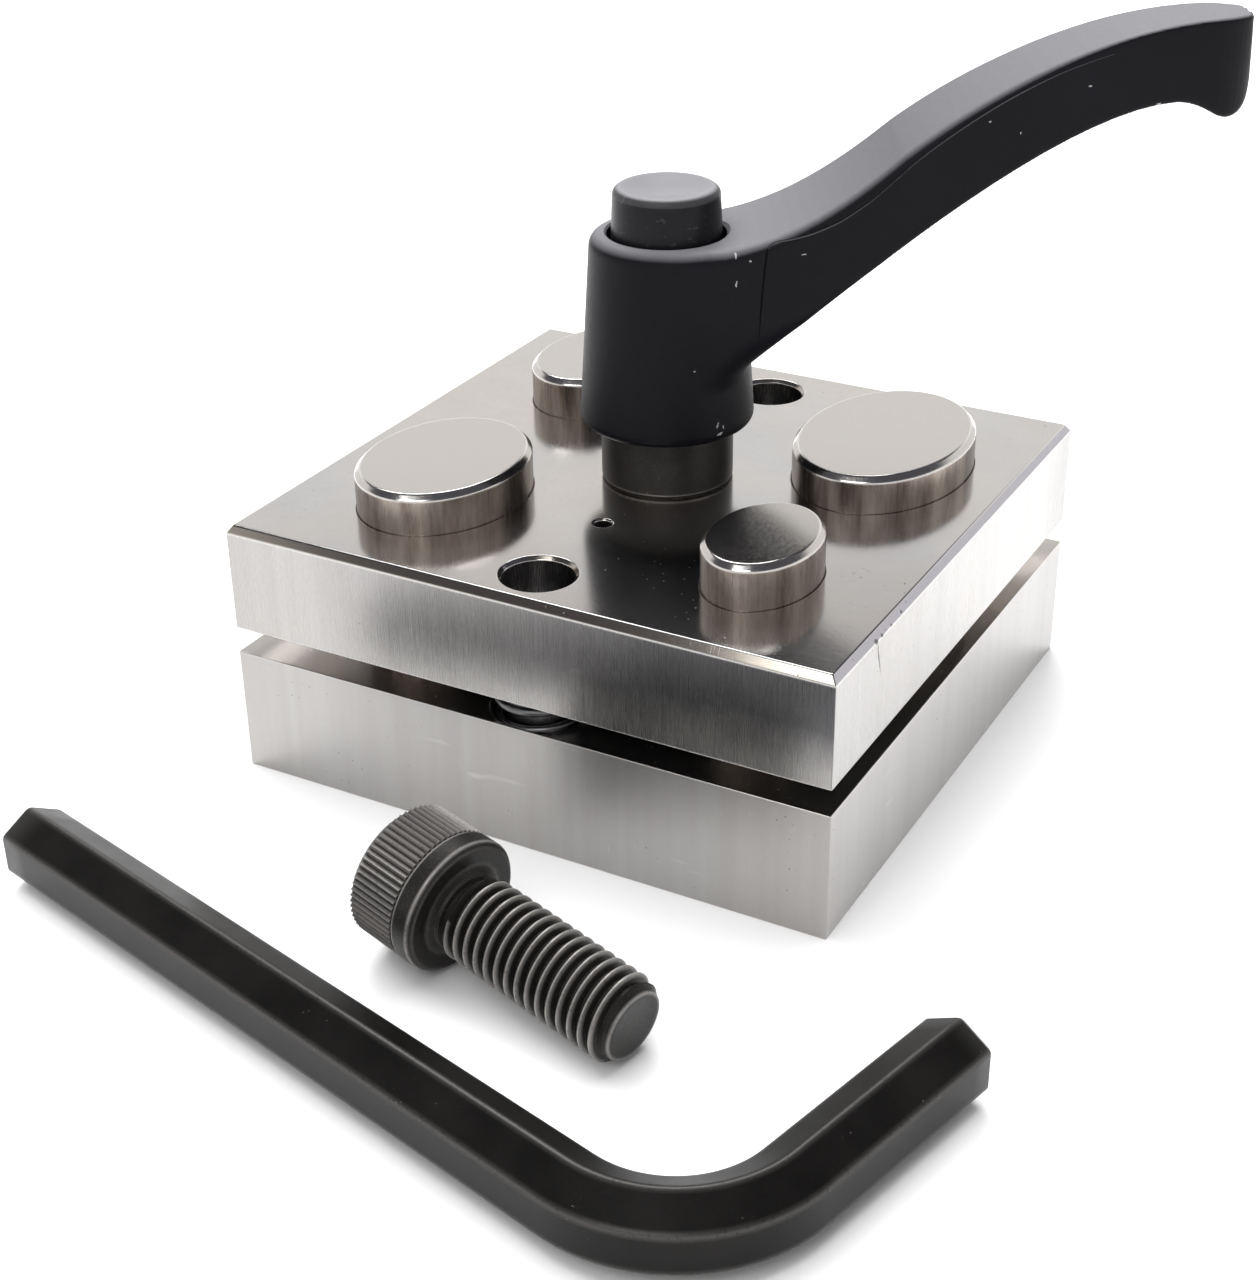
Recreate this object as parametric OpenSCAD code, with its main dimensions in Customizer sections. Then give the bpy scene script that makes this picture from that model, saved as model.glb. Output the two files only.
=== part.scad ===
// Oval disc cutter: two steel plates, four oval punches and a clamping lever.
// Origin: centre of the lower plate's underside, +Z up, the lever turns about Z.
// All sizes are in millimetres.

/* [Plates] */
// Width of both plates, left to right
plate_w = 80; // [76:0.5:100]
// Depth of both plates, front to back
plate_d = 76.2; // [74:0.2:100]
// Thickness of the lower plate, which holds the dies
lower_t = 16.4; // [14:0.1:20]
// Open gap between the plates, where the sheet metal goes
gap = 3.3; // [3.2:0.1:4]
// Thickness of the upper plate, which guides the punches
upper_t = 13.9; // [12:0.1:18]
// Width of the chamfer round the upper plate's top edges
edge_chamfer_w = 0.7; // [0.2:0.1:1.5]
// Height of the same chamfer
edge_chamfer_h = 1; // [0.2:0.1:1.5]
// Diameter of the small sight hole in the upper plate
sight_hole_d = 2.2; // [1.5:0.1:3]
// Distance of the sight hole in front of the lever's axis
sight_hole_y = 16.6; // [14:0.1:18]

/* [Punches] */
// Width and length of the largest oval punch
punch_1_size = [21.4, 30]; // [10:0.1:32]
// Width and length of the second oval punch
punch_2_size = [20, 25.6]; // [10:0.1:30]
// Width and length of the third oval punch
punch_3_size = [16, 22]; // [10:0.1:26]
// Width and length of the smallest oval punch
punch_4_size = [13.2, 18.2]; // [8:0.1:20]
// Height of the largest punch
punch_1_len = 38.4; // [36:0.1:40]
// Height of the second punch
punch_2_len = 38.8; // [36:0.1:40]
// Height of the third punch
punch_3_len = 39; // [36:0.1:40]
// Height of the smallest punch
punch_4_len = 39.2; // [36:0.1:40]
// Chamfer round the struck end of each punch
punch_chamfer = 0.7; // [0.3:0.1:1]
// Clearance on every side between a punch and its slot
slot_clearance = 0.05; // [0.02:0.01:0.1]

/* [Guide pins and springs] */
// Diameter of the two guide pins
pin_d = 8.5; // [8:0.1:9]
// Length of the guide pins
pin_len = 26.8; // [25:0.1:28]
// Distance of the front pin from the lever's axis
pin_front_y = 31.6; // [30:0.1:32]
// Distance of the rear pin from the lever's axis
pin_rear_y = 30; // [28:0.1:32]
// Chamfer at the mouth of each guide hole
guide_mouth = 0.45; // [0.2:0.05:0.8]
// Depth of the spring pockets in the lower plate
spring_pocket = 6.1; // [5:0.1:7]
// Wire thickness of the two lifting springs
lift_wire_d = 1; // [0.8:0.1:1.2]
// Turns in each lifting spring
lift_turns = 5; // [4:0.5:5.5]

/* [Clamping lever] */
// Thread diameter of the stud
stud_d = 10; // [10:0.5:12]
// Length of stud below the collar's face
stud_len = 30; // [28:0.5:32]
// Diameter of the steel collar that presses on the upper plate
collar_d = 16.4; // [16:0.1:17]
// Height of the hub's lower rim above the upper plate
hub_bottom = 7.6; // [6.5:0.1:8]
// Height of the hub's top above the upper plate
hub_top = 31.4; // [31:0.1:33]
// Diameter of the hub at its widest, near the bottom
hub_low_d = 21.4; // [21:0.1:23]
// Diameter of the hub at its shoulder
hub_high_d = 18.7; // [18.5:0.1:20]
// Direction of the lever's arm, counter-clockwise from +X
arm_angle = 30; // [0:1:359]
// Reach of the lever, from the axis to the tip
arm_reach = 67.2; // [62:0.1:75]
// Width of the arm where it leaves the hub
arm_root_w = 18; // [16:0.1:18.4]
// Width of the arm where its rounded end begins
arm_tip_w = 9.4; // [8:0.1:14]
// Length of the arm's rounded end
arm_end = 6.2; // [3:0.1:7]
// Number of locking teeth between the lever and its insert
tooth_count = 20; // [16:1:26]
// Diameter of the push button at its foot
button_d = 13.6; // [13:0.1:13.8]
// Diameter of the push button at its top
button_top_d = 12.9; // [12:0.1:13.6]
// Height of the push button's top above the upper plate
button_top = 36.8; // [36:0.1:38]

/* [Loose screw and key] */
// Length of the spare cap screw under its head
screw_len = 25; // [20:1:30]
// Length of the key's long arm, over the bend
key_long = 106.4; // [100:0.2:112]
// Length of the key's short arm, over the bend
key_short = 45; // [40:0.5:48]
// Bend radius of the key at its middle
key_bend_r = 15; // [10:0.5:18]

/* [Hidden] */
$fn = 96;

// Heights of the faces above the bench
lower_top = lower_t;
upper_bottom = lower_t + gap;
upper_top = upper_bottom + upper_t;

// Centres of the four punches, seen from above
punch_1_at = [23.4, 14];
punch_2_at = [-21.4, -18];
punch_3_at = [-21.3, 20];
punch_4_at = [23.1, -20.5];

// Running clearance of bores, on the radius
run = 0.05;
guide_run = 0.03;
// How far a cutting shape passes the face it cuts
over = 1;
// Corners of the polygon that stands for an oval
oval_steps = 72;
// Chamfer at both ends of the pins, the stud and the cap screw's thread
end_chamfer = 0.8;
// Height of the guide pins' feet above the bench
pin_foot = 0.4;
// Extra radius of the upper plate's hole for the stud
stud_play = 0.5;
// Clearance between the stud and the insert that it is fixed in
stud_fit = 0.02;
// Chamfer at the sight hole's mouth
sight_mouth = 0.2;
// Thickness of the thin slice that ends each punch's chamfer
slice = 0.01;

// Spring pockets and the springs in them
pocket_d = 12.6;
pocket_floor = lower_top - spring_pocket;
lift_coil_r = 5.2;

// Inside the hub: all heights are above the upper plate
collar_top = 9.6;
collar_edge = 0.4;
collar_room = 0.1;
teeth_top = 13.2;
tooth_tip_r = 7.3;
tooth_root_r = 6.5;
tooth_play = 0.08;
web_gap = 0.05;
web_top = 16.2;
neck_r = 4.7;
neck_top = 27;
stud_depth = 9;
hub_rim_r = 1.2;
chamber_r = 7.2;
washer_r = 6.9;
washer_t = 1;
retainer_r = 3;
retainer_head_r = 5;
retainer_head_h = 3;
retainer_len = 11;
retainer_af = 5;
retainer_floor = 1.2;
retainer_room = 0.5;
washer_play = 0.2;
button_edge = 0.9;
button_land = 0.3;
button_dish = 0.8;
handle_coil_r = 5.9;
handle_wire_d = 1.1;
handle_turns = 5;
shoulder_r = 1.8;

// M10 socket head cap screw, for a hexagon key of 8 mm across its flats
key_af = 8;
screw_head_d = 16;
screw_head_h = 10;
screw_head_edge = 1;
screw_socket_depth = 5;
screw_at = [7.1, -61.1];
screw_angle = -13;
// The screw lies on its head's rim and on its thread's end, so its axis dips
screw_dip = asin((screw_head_d - stud_d) / 2 / screw_len);

// Hexagon key: the corner where its two arms would cross, and its direction
key_corner = [51.7, -94.2];
key_angle = -14.2;
key_r = key_af / sqrt(3);

// Points of a cubic curve from p0 to p3, steered by p1 and p2
function curve(p0, p1, p2, p3, steps) = [for (i = [0 : steps])
    let (t = i / steps, u = 1 - t)
    u * u * u * p0 + 3 * u * u * t * p1 + 3 * u * t * t * p2 + t * t * t * p3];

// Points of an oval, grown by a margin on every side
function oval(size, margin) = [for (i = [0 : oval_steps - 1])
    let (a = 360 * i / oval_steps)
    [(size[0] / 2 + margin) * cos(a), (size[1] / 2 + margin) * sin(a)]];

// Star outline of a ring of straight teeth
function teeth(tip_r, root_r) = [for (i = [0 : 2 * tooth_count - 1])
    let (r = i % 2 == 0 ? tip_r : root_r, a = 180 * i / tooth_count)
    [r * cos(a), r * sin(a)]];

// Ring of points round a coil's wire at turn angle a and height z
function wire_ring(coil_r, wire_r, a, z, sides) = [for (k = [0 : sides - 1])
    let (b = 360 * k / sides, r = coil_r + wire_r * cos(b))
    [r * cos(a), r * sin(a), z + wire_r * sin(b)]];

// A coil spring that stands on z = 0 and is height tall
module coil(coil_r, wire_d, turns, height) {
    sides = 8;
    per_turn = 20;
    rings = turns * per_turn;
    rise = height - wire_d;
    points = [for (i = [0 : rings])
        each wire_ring(coil_r, wire_d / 2, 360 * i / per_turn, wire_d / 2 + rise * i / rings, sides)];
    walls = [for (i = [0 : rings - 1], k = [0 : sides - 1])
        let (a = i * sides + k, b = i * sides + (k + 1) % sides)
        [a, a + sides, b + sides, b]];
    start = [[for (k = [0 : sides - 1]) k]];
    stop = [[for (k = [sides - 1 : -1 : 0]) rings * sides + k]];
    polyhedron(points = points, faces = concat(walls, start, stop), convexity = 6);
}

// Slot for an oval punch, through a plate between two heights
module oval_slot(size, at, low, high) {
    translate([at[0], at[1], low - over])
        linear_extrude(high - low + 2 * over) polygon(oval(size, slot_clearance));
}

// All four oval slots
module punch_slots(low, high) {
    oval_slot(punch_1_size, punch_1_at, low, high);
    oval_slot(punch_2_size, punch_2_at, low, high);
    oval_slot(punch_3_size, punch_3_at, low, high);
    oval_slot(punch_4_size, punch_4_at, low, high);
}

// Straight hole between two heights
module hole(at, r, low, high) {
    translate([at[0], at[1], low]) cylinder(h = high - low, r = r);
}

// Chamfer at the mouth of a hole in the upper plate's top face
module mouth(at, r, size) {
    translate([at[0], at[1], upper_top - size])
        cylinder(h = size + over, r1 = r, r2 = r + size + over);
}

// Cylinder with both ends chamfered
module turned_pin(r, length, chamfer) {
    rotate_extrude() polygon([[0, 0], [r - chamfer, 0], [r, chamfer],
        [r, length - chamfer], [r - chamfer, length], [0, length]]);
}

// Side view of the upper plate, with its chamfered top corners
module chamfered_side(width) {
    half = width / 2;
    polygon([[-half, 0], [half, 0], [half, upper_t - edge_chamfer_h],
        [half - edge_chamfer_w, upper_t], [-half + edge_chamfer_w, upper_t],
        [-half, upper_t - edge_chamfer_h]]);
}

// Lower plate: the dies, the stud's thread and the seats of pins and springs
module lower_plate() {
    color("#b9b6b2") difference() {
        translate([-plate_w / 2, -plate_d / 2, 0]) cube([plate_w, plate_d, lower_t]);
        punch_slots(0, lower_top);
        hole([0, 0], stud_d / 2 + run, -over, lower_top + over);
        for (y = [-pin_front_y, pin_rear_y]) {
            hole([0, y], pin_d / 2, -over, lower_top + over);
            hole([0, y], pocket_d / 2, pocket_floor, lower_top + over);
        }
    }
}

// Upper plate: it guides the punches and presses on the sheet metal
module upper_plate() {
    color("#c4c1bd") difference() {
        translate([0, 0, upper_bottom]) intersection() {
            translate([0, plate_d / 2, 0]) rotate([90, 0, 0])
                linear_extrude(plate_d) chamfered_side(plate_w);
            translate([-plate_w / 2, 0, 0]) rotate([90, 0, 90])
                linear_extrude(plate_w) chamfered_side(plate_d);
        }
        punch_slots(upper_bottom, upper_top);
        hole([0, 0], stud_d / 2 + stud_play, upper_bottom - over, upper_top + over);
        hole([0, -sight_hole_y], sight_hole_d / 2, upper_bottom - over, upper_top + over);
        mouth([0, -sight_hole_y], sight_hole_d / 2, sight_mouth);
        for (y = [-pin_front_y, pin_rear_y]) {
            hole([0, y], pin_d / 2 + guide_run, upper_bottom - over, upper_top + over);
            mouth([0, y], pin_d / 2 + guide_run, guide_mouth);
        }
    }
}

// Hardened guide pin, pressed into the lower plate
module guide_pin(y) {
    color("#8d8f92") translate([0, y, pin_foot]) turned_pin(pin_d / 2, pin_len, end_chamfer);
}
module guide_pin_front() guide_pin(-pin_front_y);
module guide_pin_rear() guide_pin(pin_rear_y);

// Spring that lifts the upper plate off the sheet
module lift_spring(y) {
    color("#a7a9ab") translate([0, y, pocket_floor])
        coil(lift_coil_r, lift_wire_d, lift_turns, upper_bottom - pocket_floor);
}
module lift_spring_front() lift_spring(-pin_front_y);
module lift_spring_rear() lift_spring(pin_rear_y);

// Oval punch that stands on the bench in its slot
module punch(size, at, length) {
    color("#9a948c") translate([at[0], at[1], 0]) {
        linear_extrude(length - punch_chamfer) polygon(oval(size, 0));
        hull() {
            translate([0, 0, length - punch_chamfer - slice])
                linear_extrude(slice) polygon(oval(size, 0));
            translate([0, 0, length - slice])
                linear_extrude(slice) polygon(oval(size, -punch_chamfer));
        }
    }
}
module punch_1() punch(punch_1_size, punch_1_at, punch_1_len);
module punch_2() punch(punch_2_size, punch_2_at, punch_2_len);
module punch_3() punch(punch_3_size, punch_3_at, punch_3_len);
module punch_4() punch(punch_4_size, punch_4_at, punch_4_len);

// Threaded stud, fixed in the insert and screwed into the lower plate
module clamp_stud() {
    color("#2c2d2f") translate([0, 0, upper_top - stud_len])
        turned_pin(stud_d / 2, stud_len + stud_depth, end_chamfer);
}

// Steel insert: collar, ring of locking teeth and the neck that guides the lever
module toothed_insert() {
    color("#3a3b3c") translate([0, 0, upper_top]) difference() {
        union() {
            rotate_extrude() polygon([[0, 0], [collar_d / 2 - collar_edge, 0],
                [collar_d / 2, collar_edge], [collar_d / 2, collar_top], [0, collar_top]]);
            translate([0, 0, collar_top - over]) rotate(arm_angle)
                linear_extrude(teeth_top - collar_top + over) polygon(teeth(tooth_tip_r, tooth_root_r));
            cylinder(h = neck_top, r = neck_r);
        }
        translate([0, 0, -over]) cylinder(h = stud_depth + over, r = stud_d / 2 + stud_fit);
        translate([0, 0, neck_top - retainer_len - retainer_room])
            cylinder(h = retainer_len + retainer_room + over, r = retainer_r + run);
    }
}

// Side view of the lever's arm: x runs out from the axis, y is the height above the plate
module arm_side() {
    tip = arm_reach;
    polygon(concat(
        curve([5, 31.2], [14, 32], [21.5, 37.6], [27, 42.2], 8),
        curve([27, 42.2], [35.5, 48.6], [49.5, 56.1], [tip - 3, 56], 10),
        curve([tip - 1.6, 55.85], [tip - 1.1, 55.8], [tip - 0.8, 55.6], [tip - 0.7, 55.2], 3),
        curve([tip, 48.5], [tip, 46.1], [tip - 1.1, 44.7], [tip - 2.9, 44.65], 5),
        curve([tip - 3.1, 44.65], [tip - 4.8, 44.7], [tip - 5.9, 46.5], [tip - 9, 46.75], 5),
        curve([tip - 9.3, 46.75], [43.8, 46.4], [18, 25], [8.5, 15.6], 12),
        [[5, 12.6]]));
}

// Plan of the lever's arm: it narrows from the hub to a rounded end
module arm_plan() {
    end = arm_reach - arm_end;
    edge = concat([[0, arm_root_w / 2]],
        curve([6, arm_root_w / 2], [26, arm_root_w / 2 + 0.3], [44, arm_tip_w / 2 + 1.7],
            [end, arm_tip_w / 2], 10),
        curve([end + arm_end / 4, arm_tip_w * 0.475], [end + arm_end * 0.65, arm_tip_w * 0.41],
            [arm_reach, arm_tip_w * 0.22], [arm_reach, 0], 6));
    polygon(concat(edge, [for (i = [len(edge) - 2 : -1 : 0]) [edge[i][0], -edge[i][1]]]));
}

// Lever handle: hub and arm cast in one, with locking teeth inside
module lever_handle() {
    low_r = hub_low_d / 2;
    high_r = hub_high_d / 2;
    color("#232325") translate([0, 0, upper_top]) difference() {
        union() {
            rotate_extrude() polygon(concat([[0, hub_bottom]],
                curve([low_r - hub_rim_r, hub_bottom], [low_r - hub_rim_r / 2, hub_bottom],
                    [low_r, hub_bottom + hub_rim_r / 2], [low_r, hub_bottom + hub_rim_r], 4),
                curve([high_r, hub_top - shoulder_r], [high_r, hub_top - shoulder_r / 2],
                    [high_r - shoulder_r / 2, hub_top], [high_r - shoulder_r, hub_top], 5),
                [[0, hub_top]]));
            rotate(arm_angle) intersection() {
                translate([0, plate_w / 2, 0]) rotate([90, 0, 0])
                    linear_extrude(plate_w) arm_side();
                linear_extrude(2 * arm_reach) arm_plan();
            }
        }
        translate([0, 0, hub_bottom - over])
            cylinder(h = collar_top + collar_room - hub_bottom + over, r = collar_d / 2 + run);
        rotate(arm_angle) linear_extrude(teeth_top + web_gap)
            polygon(teeth(tooth_tip_r + tooth_play, tooth_root_r + tooth_play));
        cylinder(h = hub_top, r = neck_r + run);
        translate([0, 0, web_top]) cylinder(h = hub_top, r = chamber_r);
    }
}

// Spring that holds the lever down on the insert's teeth
module handle_spring() {
    color("#a7a9ab") translate([0, 0, upper_top + web_top])
        coil(handle_coil_r, handle_wire_d, handle_turns, neck_top - web_top);
}

// Washer that the spring pushes up against
module spring_washer() {
    color("#77797b") translate([0, 0, upper_top + neck_top]) difference() {
        cylinder(h = washer_t, r = washer_r);
        translate([0, 0, -over]) cylinder(h = washer_t + 2 * over, r = retainer_r + washer_play);
    }
}

// Screw that holds the washer on the insert's neck
module retaining_screw() {
    seat = neck_top + washer_t;
    color("#3a3b3c") translate([0, 0, upper_top + seat]) difference() {
        union() {
            cylinder(h = retainer_head_h, r = retainer_head_r);
            translate([0, 0, -retainer_len]) cylinder(h = retainer_len + over, r = retainer_r);
        }
        translate([0, 0, retainer_floor])
            cylinder(h = retainer_head_h, r = retainer_af / sqrt(3), $fn = 6);
    }
}

// Push button with a dished top, pressed over the retaining screw's head
module release_button() {
    foot = neck_top + washer_t;
    top = button_top;
    r = button_top_d / 2;
    land = r - button_edge;
    dish = top - button_dish;
    color("#28292a") translate([0, 0, upper_top]) rotate_extrude() polygon(concat(
        [[retainer_head_r, foot], [button_d / 2, foot]],
        curve([r, top - button_edge], [r, top - button_edge / 2], [r - button_edge / 2, top],
            [land, top], 4),
        curve([land - button_land, top], [land * 0.6, top - button_dish * 0.6], [land * 0.3, dish],
            [0, dish], 6),
        [[0, foot + retainer_head_h], [retainer_head_r, foot + retainer_head_h]]));
}

// Spare cap screw with an M10 thread, which clamps in the lever's place
module cap_screw() {
    head_r = screw_head_d / 2;
    color("#2a2a2b") translate([screw_at[0], screw_at[1], head_r * cos(screw_dip)])
        rotate([0, 0, screw_angle]) rotate([0, 90 + screw_dip, 0]) difference() {
            rotate_extrude() polygon([[0, -screw_head_h],
                [head_r - screw_head_edge, -screw_head_h],
                [head_r, -screw_head_h + screw_head_edge], [head_r, 0], [stud_d / 2, 0],
                [stud_d / 2, screw_len - end_chamfer], [stud_d / 2 - end_chamfer, screw_len],
                [0, screw_len]]);
            translate([0, 0, -screw_head_h - over])
                cylinder(h = screw_socket_depth + over, r = key_r, $fn = 6);
        }
}

// Cross-section of the key, standing on a corner so that two flats are upright
module key_section() {
    rotate(90) circle(r = key_r, $fn = 6);
}

// Hexagon key, lying on the bench
module hex_key() {
    half = key_af / 2;
    color("#242425") translate([key_corner[0], key_corner[1], key_r]) rotate(key_angle) {
        translate([half - key_long, 0, 0]) rotate([90, 0, 90])
            linear_extrude(key_long - half - key_bend_r) key_section();
        translate([0, key_bend_r, 0]) rotate([90, 0, 180])
            linear_extrude(key_short - half - key_bend_r) key_section();
        translate([-key_bend_r, key_bend_r, 0]) rotate(-90) rotate_extrude(angle = 90)
            translate([key_bend_r, 0]) key_section();
    }
}

lower_plate();
upper_plate();
guide_pin_front();
guide_pin_rear();
lift_spring_front();
lift_spring_rear();
punch_1();
punch_2();
punch_3();
punch_4();
clamp_stud();
toothed_insert();
lever_handle();
handle_spring();
spring_washer();
retaining_screw();
release_button();
cap_screw();
hex_key();
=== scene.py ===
import math

import bmesh
import bpy
import numpy as np
from bpy.props import FloatProperty, FloatVectorProperty, IntProperty, PointerProperty
from mathutils import Matrix, Vector
from mathutils.geometry import tessellate_polygon


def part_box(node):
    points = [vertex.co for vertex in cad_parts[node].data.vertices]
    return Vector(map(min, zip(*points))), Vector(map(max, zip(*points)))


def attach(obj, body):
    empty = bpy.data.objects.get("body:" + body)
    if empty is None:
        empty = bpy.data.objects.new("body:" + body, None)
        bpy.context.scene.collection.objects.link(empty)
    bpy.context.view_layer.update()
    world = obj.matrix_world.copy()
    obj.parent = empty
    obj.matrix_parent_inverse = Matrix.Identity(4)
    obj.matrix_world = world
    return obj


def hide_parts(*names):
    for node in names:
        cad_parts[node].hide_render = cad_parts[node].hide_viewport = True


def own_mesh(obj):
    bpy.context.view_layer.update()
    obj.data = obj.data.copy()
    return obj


bl_info = {
    "name": "Oval disc cutter",
    "version": (1, 0, 0),
    "blender": (4, 5, 0),
    "location": "3D View > Sidebar > Disc cutter",
    "description": "Detailed pieces and finishes for an oval disc cutter with a clamping lever",
    "category": "Mesh",
}

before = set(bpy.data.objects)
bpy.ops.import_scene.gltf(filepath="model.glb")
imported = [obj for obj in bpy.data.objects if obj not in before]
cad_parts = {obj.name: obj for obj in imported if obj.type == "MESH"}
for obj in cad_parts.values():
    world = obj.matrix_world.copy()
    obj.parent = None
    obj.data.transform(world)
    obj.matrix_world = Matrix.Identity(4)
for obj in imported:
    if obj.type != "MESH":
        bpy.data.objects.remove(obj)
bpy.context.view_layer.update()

# Helper functions work in millimetres, so this is one of them in metres
MM = 0.001


def top_of(node):
    """Height of a node's highest point, in millimetres."""
    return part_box(node)[1].z / MM


def bottom_of(node):
    """Height of a node's lowest point, in millimetres."""
    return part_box(node)[0].z / MM


def centre_of(node):
    """Middle of a node seen from above, in millimetres."""
    low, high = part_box(node)
    return (low.x + high.x) / 2 / MM, (low.y + high.y) / 2 / MM


def size_of(node):
    """Width, depth and height of a node, in millimetres."""
    low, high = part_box(node)
    return (high - low) / MM


# Face of the upper plate: the lever's parts are measured from it
DECK = top_of("upper_plate")
ARM_ANGLE = math.radians(30)


# ---------------------------------------------------------------- sizes and colours


class BlockSizes(bpy.types.PropertyGroup):
    """Sizes of the two plates and the punches."""

    edge_ease: FloatProperty(
        name="Edge ease", description="Width of the broken edge along ground steel corners",
        default=0.00011, min=0.00002, max=0.0005, precision=5, unit="LENGTH")
    corner_radius: FloatProperty(
        name="Corner radius", description="Radius of the plates' upright corners",
        default=0.00018, min=0.00005, max=0.002, precision=5, unit="LENGTH")
    chamfer_width: FloatProperty(
        name="Chamfer width", description="Width of the chamfer round the upper plate",
        default=0.0007, min=0.0002, max=0.0015, precision=5, unit="LENGTH")
    chamfer_height: FloatProperty(
        name="Chamfer height", description="Height of the chamfer round the upper plate",
        default=0.001, min=0.0002, max=0.0015, precision=5, unit="LENGTH")
    punch_chamfer: FloatProperty(
        name="Punch chamfer", description="Chamfer round the struck end of each punch",
        default=0.0007, min=0.0002, max=0.001, precision=5, unit="LENGTH")
    slot_clearance: FloatProperty(
        name="Slot clearance", description="Gap between a punch and its slot, on each side",
        default=0.00005, min=0.00002, max=0.0002, precision=5, unit="LENGTH")
    oval_steps: IntProperty(
        name="Oval steps", description="Number of points round each oval",
        default=144, min=48, max=288)


class LeverSizes(bpy.types.PropertyGroup):
    """Sizes of the lever handle's outside and of its parting line."""

    voxel: FloatProperty(
        name="Mesh size", description="Spacing of the lever's mesh",
        default=0.0003, min=0.00025, max=0.001, precision=5, unit="LENGTH")
    edge_radius: FloatProperty(
        name="Edge radius", description="Radius of the cast edges near the arm's tip",
        default=0.0004, min=0.0002, max=0.001, precision=5, unit="LENGTH")
    blend_radius: FloatProperty(
        name="Blend radius", description="Radius of the fillet between arm and hub",
        default=0.0032, min=0.0005, max=0.004, precision=5, unit="LENGTH")
    groove_depth: FloatProperty(
        name="Parting groove", description="Half width of the groove along the parting line",
        default=0.00014, min=0.00005, max=0.0004, precision=5, unit="LENGTH")


class FastenerSizes(bpy.types.PropertyGroup):
    """Sizes of threads, the cap screw's knurl, the springs and the key."""

    pitch: FloatProperty(
        name="Thread pitch", description="Pitch of the stud's and the cap screw's thread",
        default=0.0015, min=0.001, max=0.002, precision=5, unit="LENGTH")
    ridges: IntProperty(
        name="Knurl ridges", description="Number of ridges round the cap screw's head",
        default=64, min=40, max=110)
    teeth: IntProperty(
        name="Locking teeth", description="Number of locking teeth inside the lever",
        default=20, min=12, max=30)
    spring_turns: FloatProperty(
        name="Spring turns", description="Number of turns in each coil spring",
        default=5.0, min=3.0, max=9.0)
    key_ease: FloatProperty(
        name="Key ease", description="Width of the rounded corners along the hexagon key",
        default=0.00035, min=0.0001, max=0.001, precision=5, unit="LENGTH")


class Finishes(bpy.types.PropertyGroup):
    """Colours of the metals and coatings."""

    steel: FloatVectorProperty(
        name="Ground steel", description="Colour of the ground plates", subtype="COLOR",
        size=3, min=0, max=1, default=(0.64, 0.625, 0.605))
    punch: FloatVectorProperty(
        name="Punch steel", description="Colour of the hardened punches", subtype="COLOR",
        size=3, min=0, max=1, default=(0.60, 0.575, 0.55))
    pin: FloatVectorProperty(
        name="Pin steel", description="Colour of pins and the washer", subtype="COLOR",
        size=3, min=0, max=1, default=(0.40, 0.40, 0.40))
    # Kept dark as painted shade, so that the springs in the gap between the plates look shaded.
    wire: FloatVectorProperty(
        name="Spring wire", description="Colour of the spring wire", subtype="COLOR",
        size=3, min=0, max=1, default=(0.16, 0.16, 0.165))
    oxide: FloatVectorProperty(
        name="Black oxide", description="Colour of the blackened steel", subtype="COLOR",
        size=3, min=0, max=1, default=(0.045, 0.042, 0.040))
    coat: FloatVectorProperty(
        name="Black coat", description="Colour of the lever's powder coat", subtype="COLOR",
        size=3, min=0, max=1, default=(0.0045, 0.0045, 0.0065))
    plastic: FloatVectorProperty(
        name="Button", description="Colour of the release button", subtype="COLOR",
        size=3, min=0, max=1, default=(0.007, 0.007, 0.009))


class StageSettings(bpy.types.PropertyGroup):
    """Floor colour and the camera: its direction, distance and focal length."""

    azimuth: FloatProperty(
        name="Azimuth", description="Camera's direction round the block",
        default=math.radians(29.15), subtype="ANGLE")
    elevation: FloatProperty(
        name="Elevation", description="Camera's height above the horizon",
        default=math.radians(28.75), subtype="ANGLE")
    roll: FloatProperty(
        name="Roll", description="Camera's turn about its own axis",
        default=math.radians(-0.79), subtype="ANGLE")
    distance: FloatProperty(
        name="Distance", description="Distance from the camera to the point it looks at",
        default=0.28398, min=0.1, max=2.0, unit="LENGTH")
    lens: FloatProperty(
        name="Focal length", description="Focal length of the camera, in millimetres",
        default=59.91, min=20, max=200)
    floor: FloatVectorProperty(
        name="Floor", description="Colour of the floor", subtype="COLOR",
        size=3, min=0, max=1, default=(0.93, 0.93, 0.93))


# ---------------------------------------------------------------- shells of points and faces


def bezier(p0, p1, p2, p3, steps):
    """Points of a cubic curve from p0 to p3, steered by p1 and p2."""
    a, b, c, d = (Vector(p) for p in (p0, p1, p2, p3))
    points = []
    for i in range(steps + 1):
        t = i / steps
        u = 1 - t
        points.append(tuple(u ** 3 * a + 3 * u * u * t * b + 3 * u * t * t * c + t ** 3 * d))
    return points


def eased(points, ease, least_turn=25):
    """Rows (across, height, wear) along a profile, its corners broken and its ends left out.

    A corner becomes five rows, so that the flats beside it keep their own shading.
    """
    rows = []
    for before, corner, after in zip(points, points[1:], points[2:]):
        c = Vector(corner)
        back = Vector(before) - c
        ahead = Vector(after) - c
        if math.degrees(back.angle(-ahead)) < least_turn:
            rows.append((*c, 0.0))
            continue
        reach = min(ease, 0.24 * back.length, 0.24 * ahead.length)
        back = back.normalized() * reach
        ahead = ahead.normalized() * reach
        middle = c + (back + ahead) / 4
        rows += [(*(c + 2 * back), 0.0), (*(c + back), 0.35), (*middle, 1.0),
                 (*(c + ahead), 0.35), (*(c + 2 * ahead), 0.0)]
    return rows


def circle(radius, steps, at=(0, 0)):
    """Points of a circle seen from above."""
    turn = 2 * math.pi / steps
    return [(at[0] + radius * math.cos(i * turn), at[1] + radius * math.sin(i * turn))
            for i in range(steps)]


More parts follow.
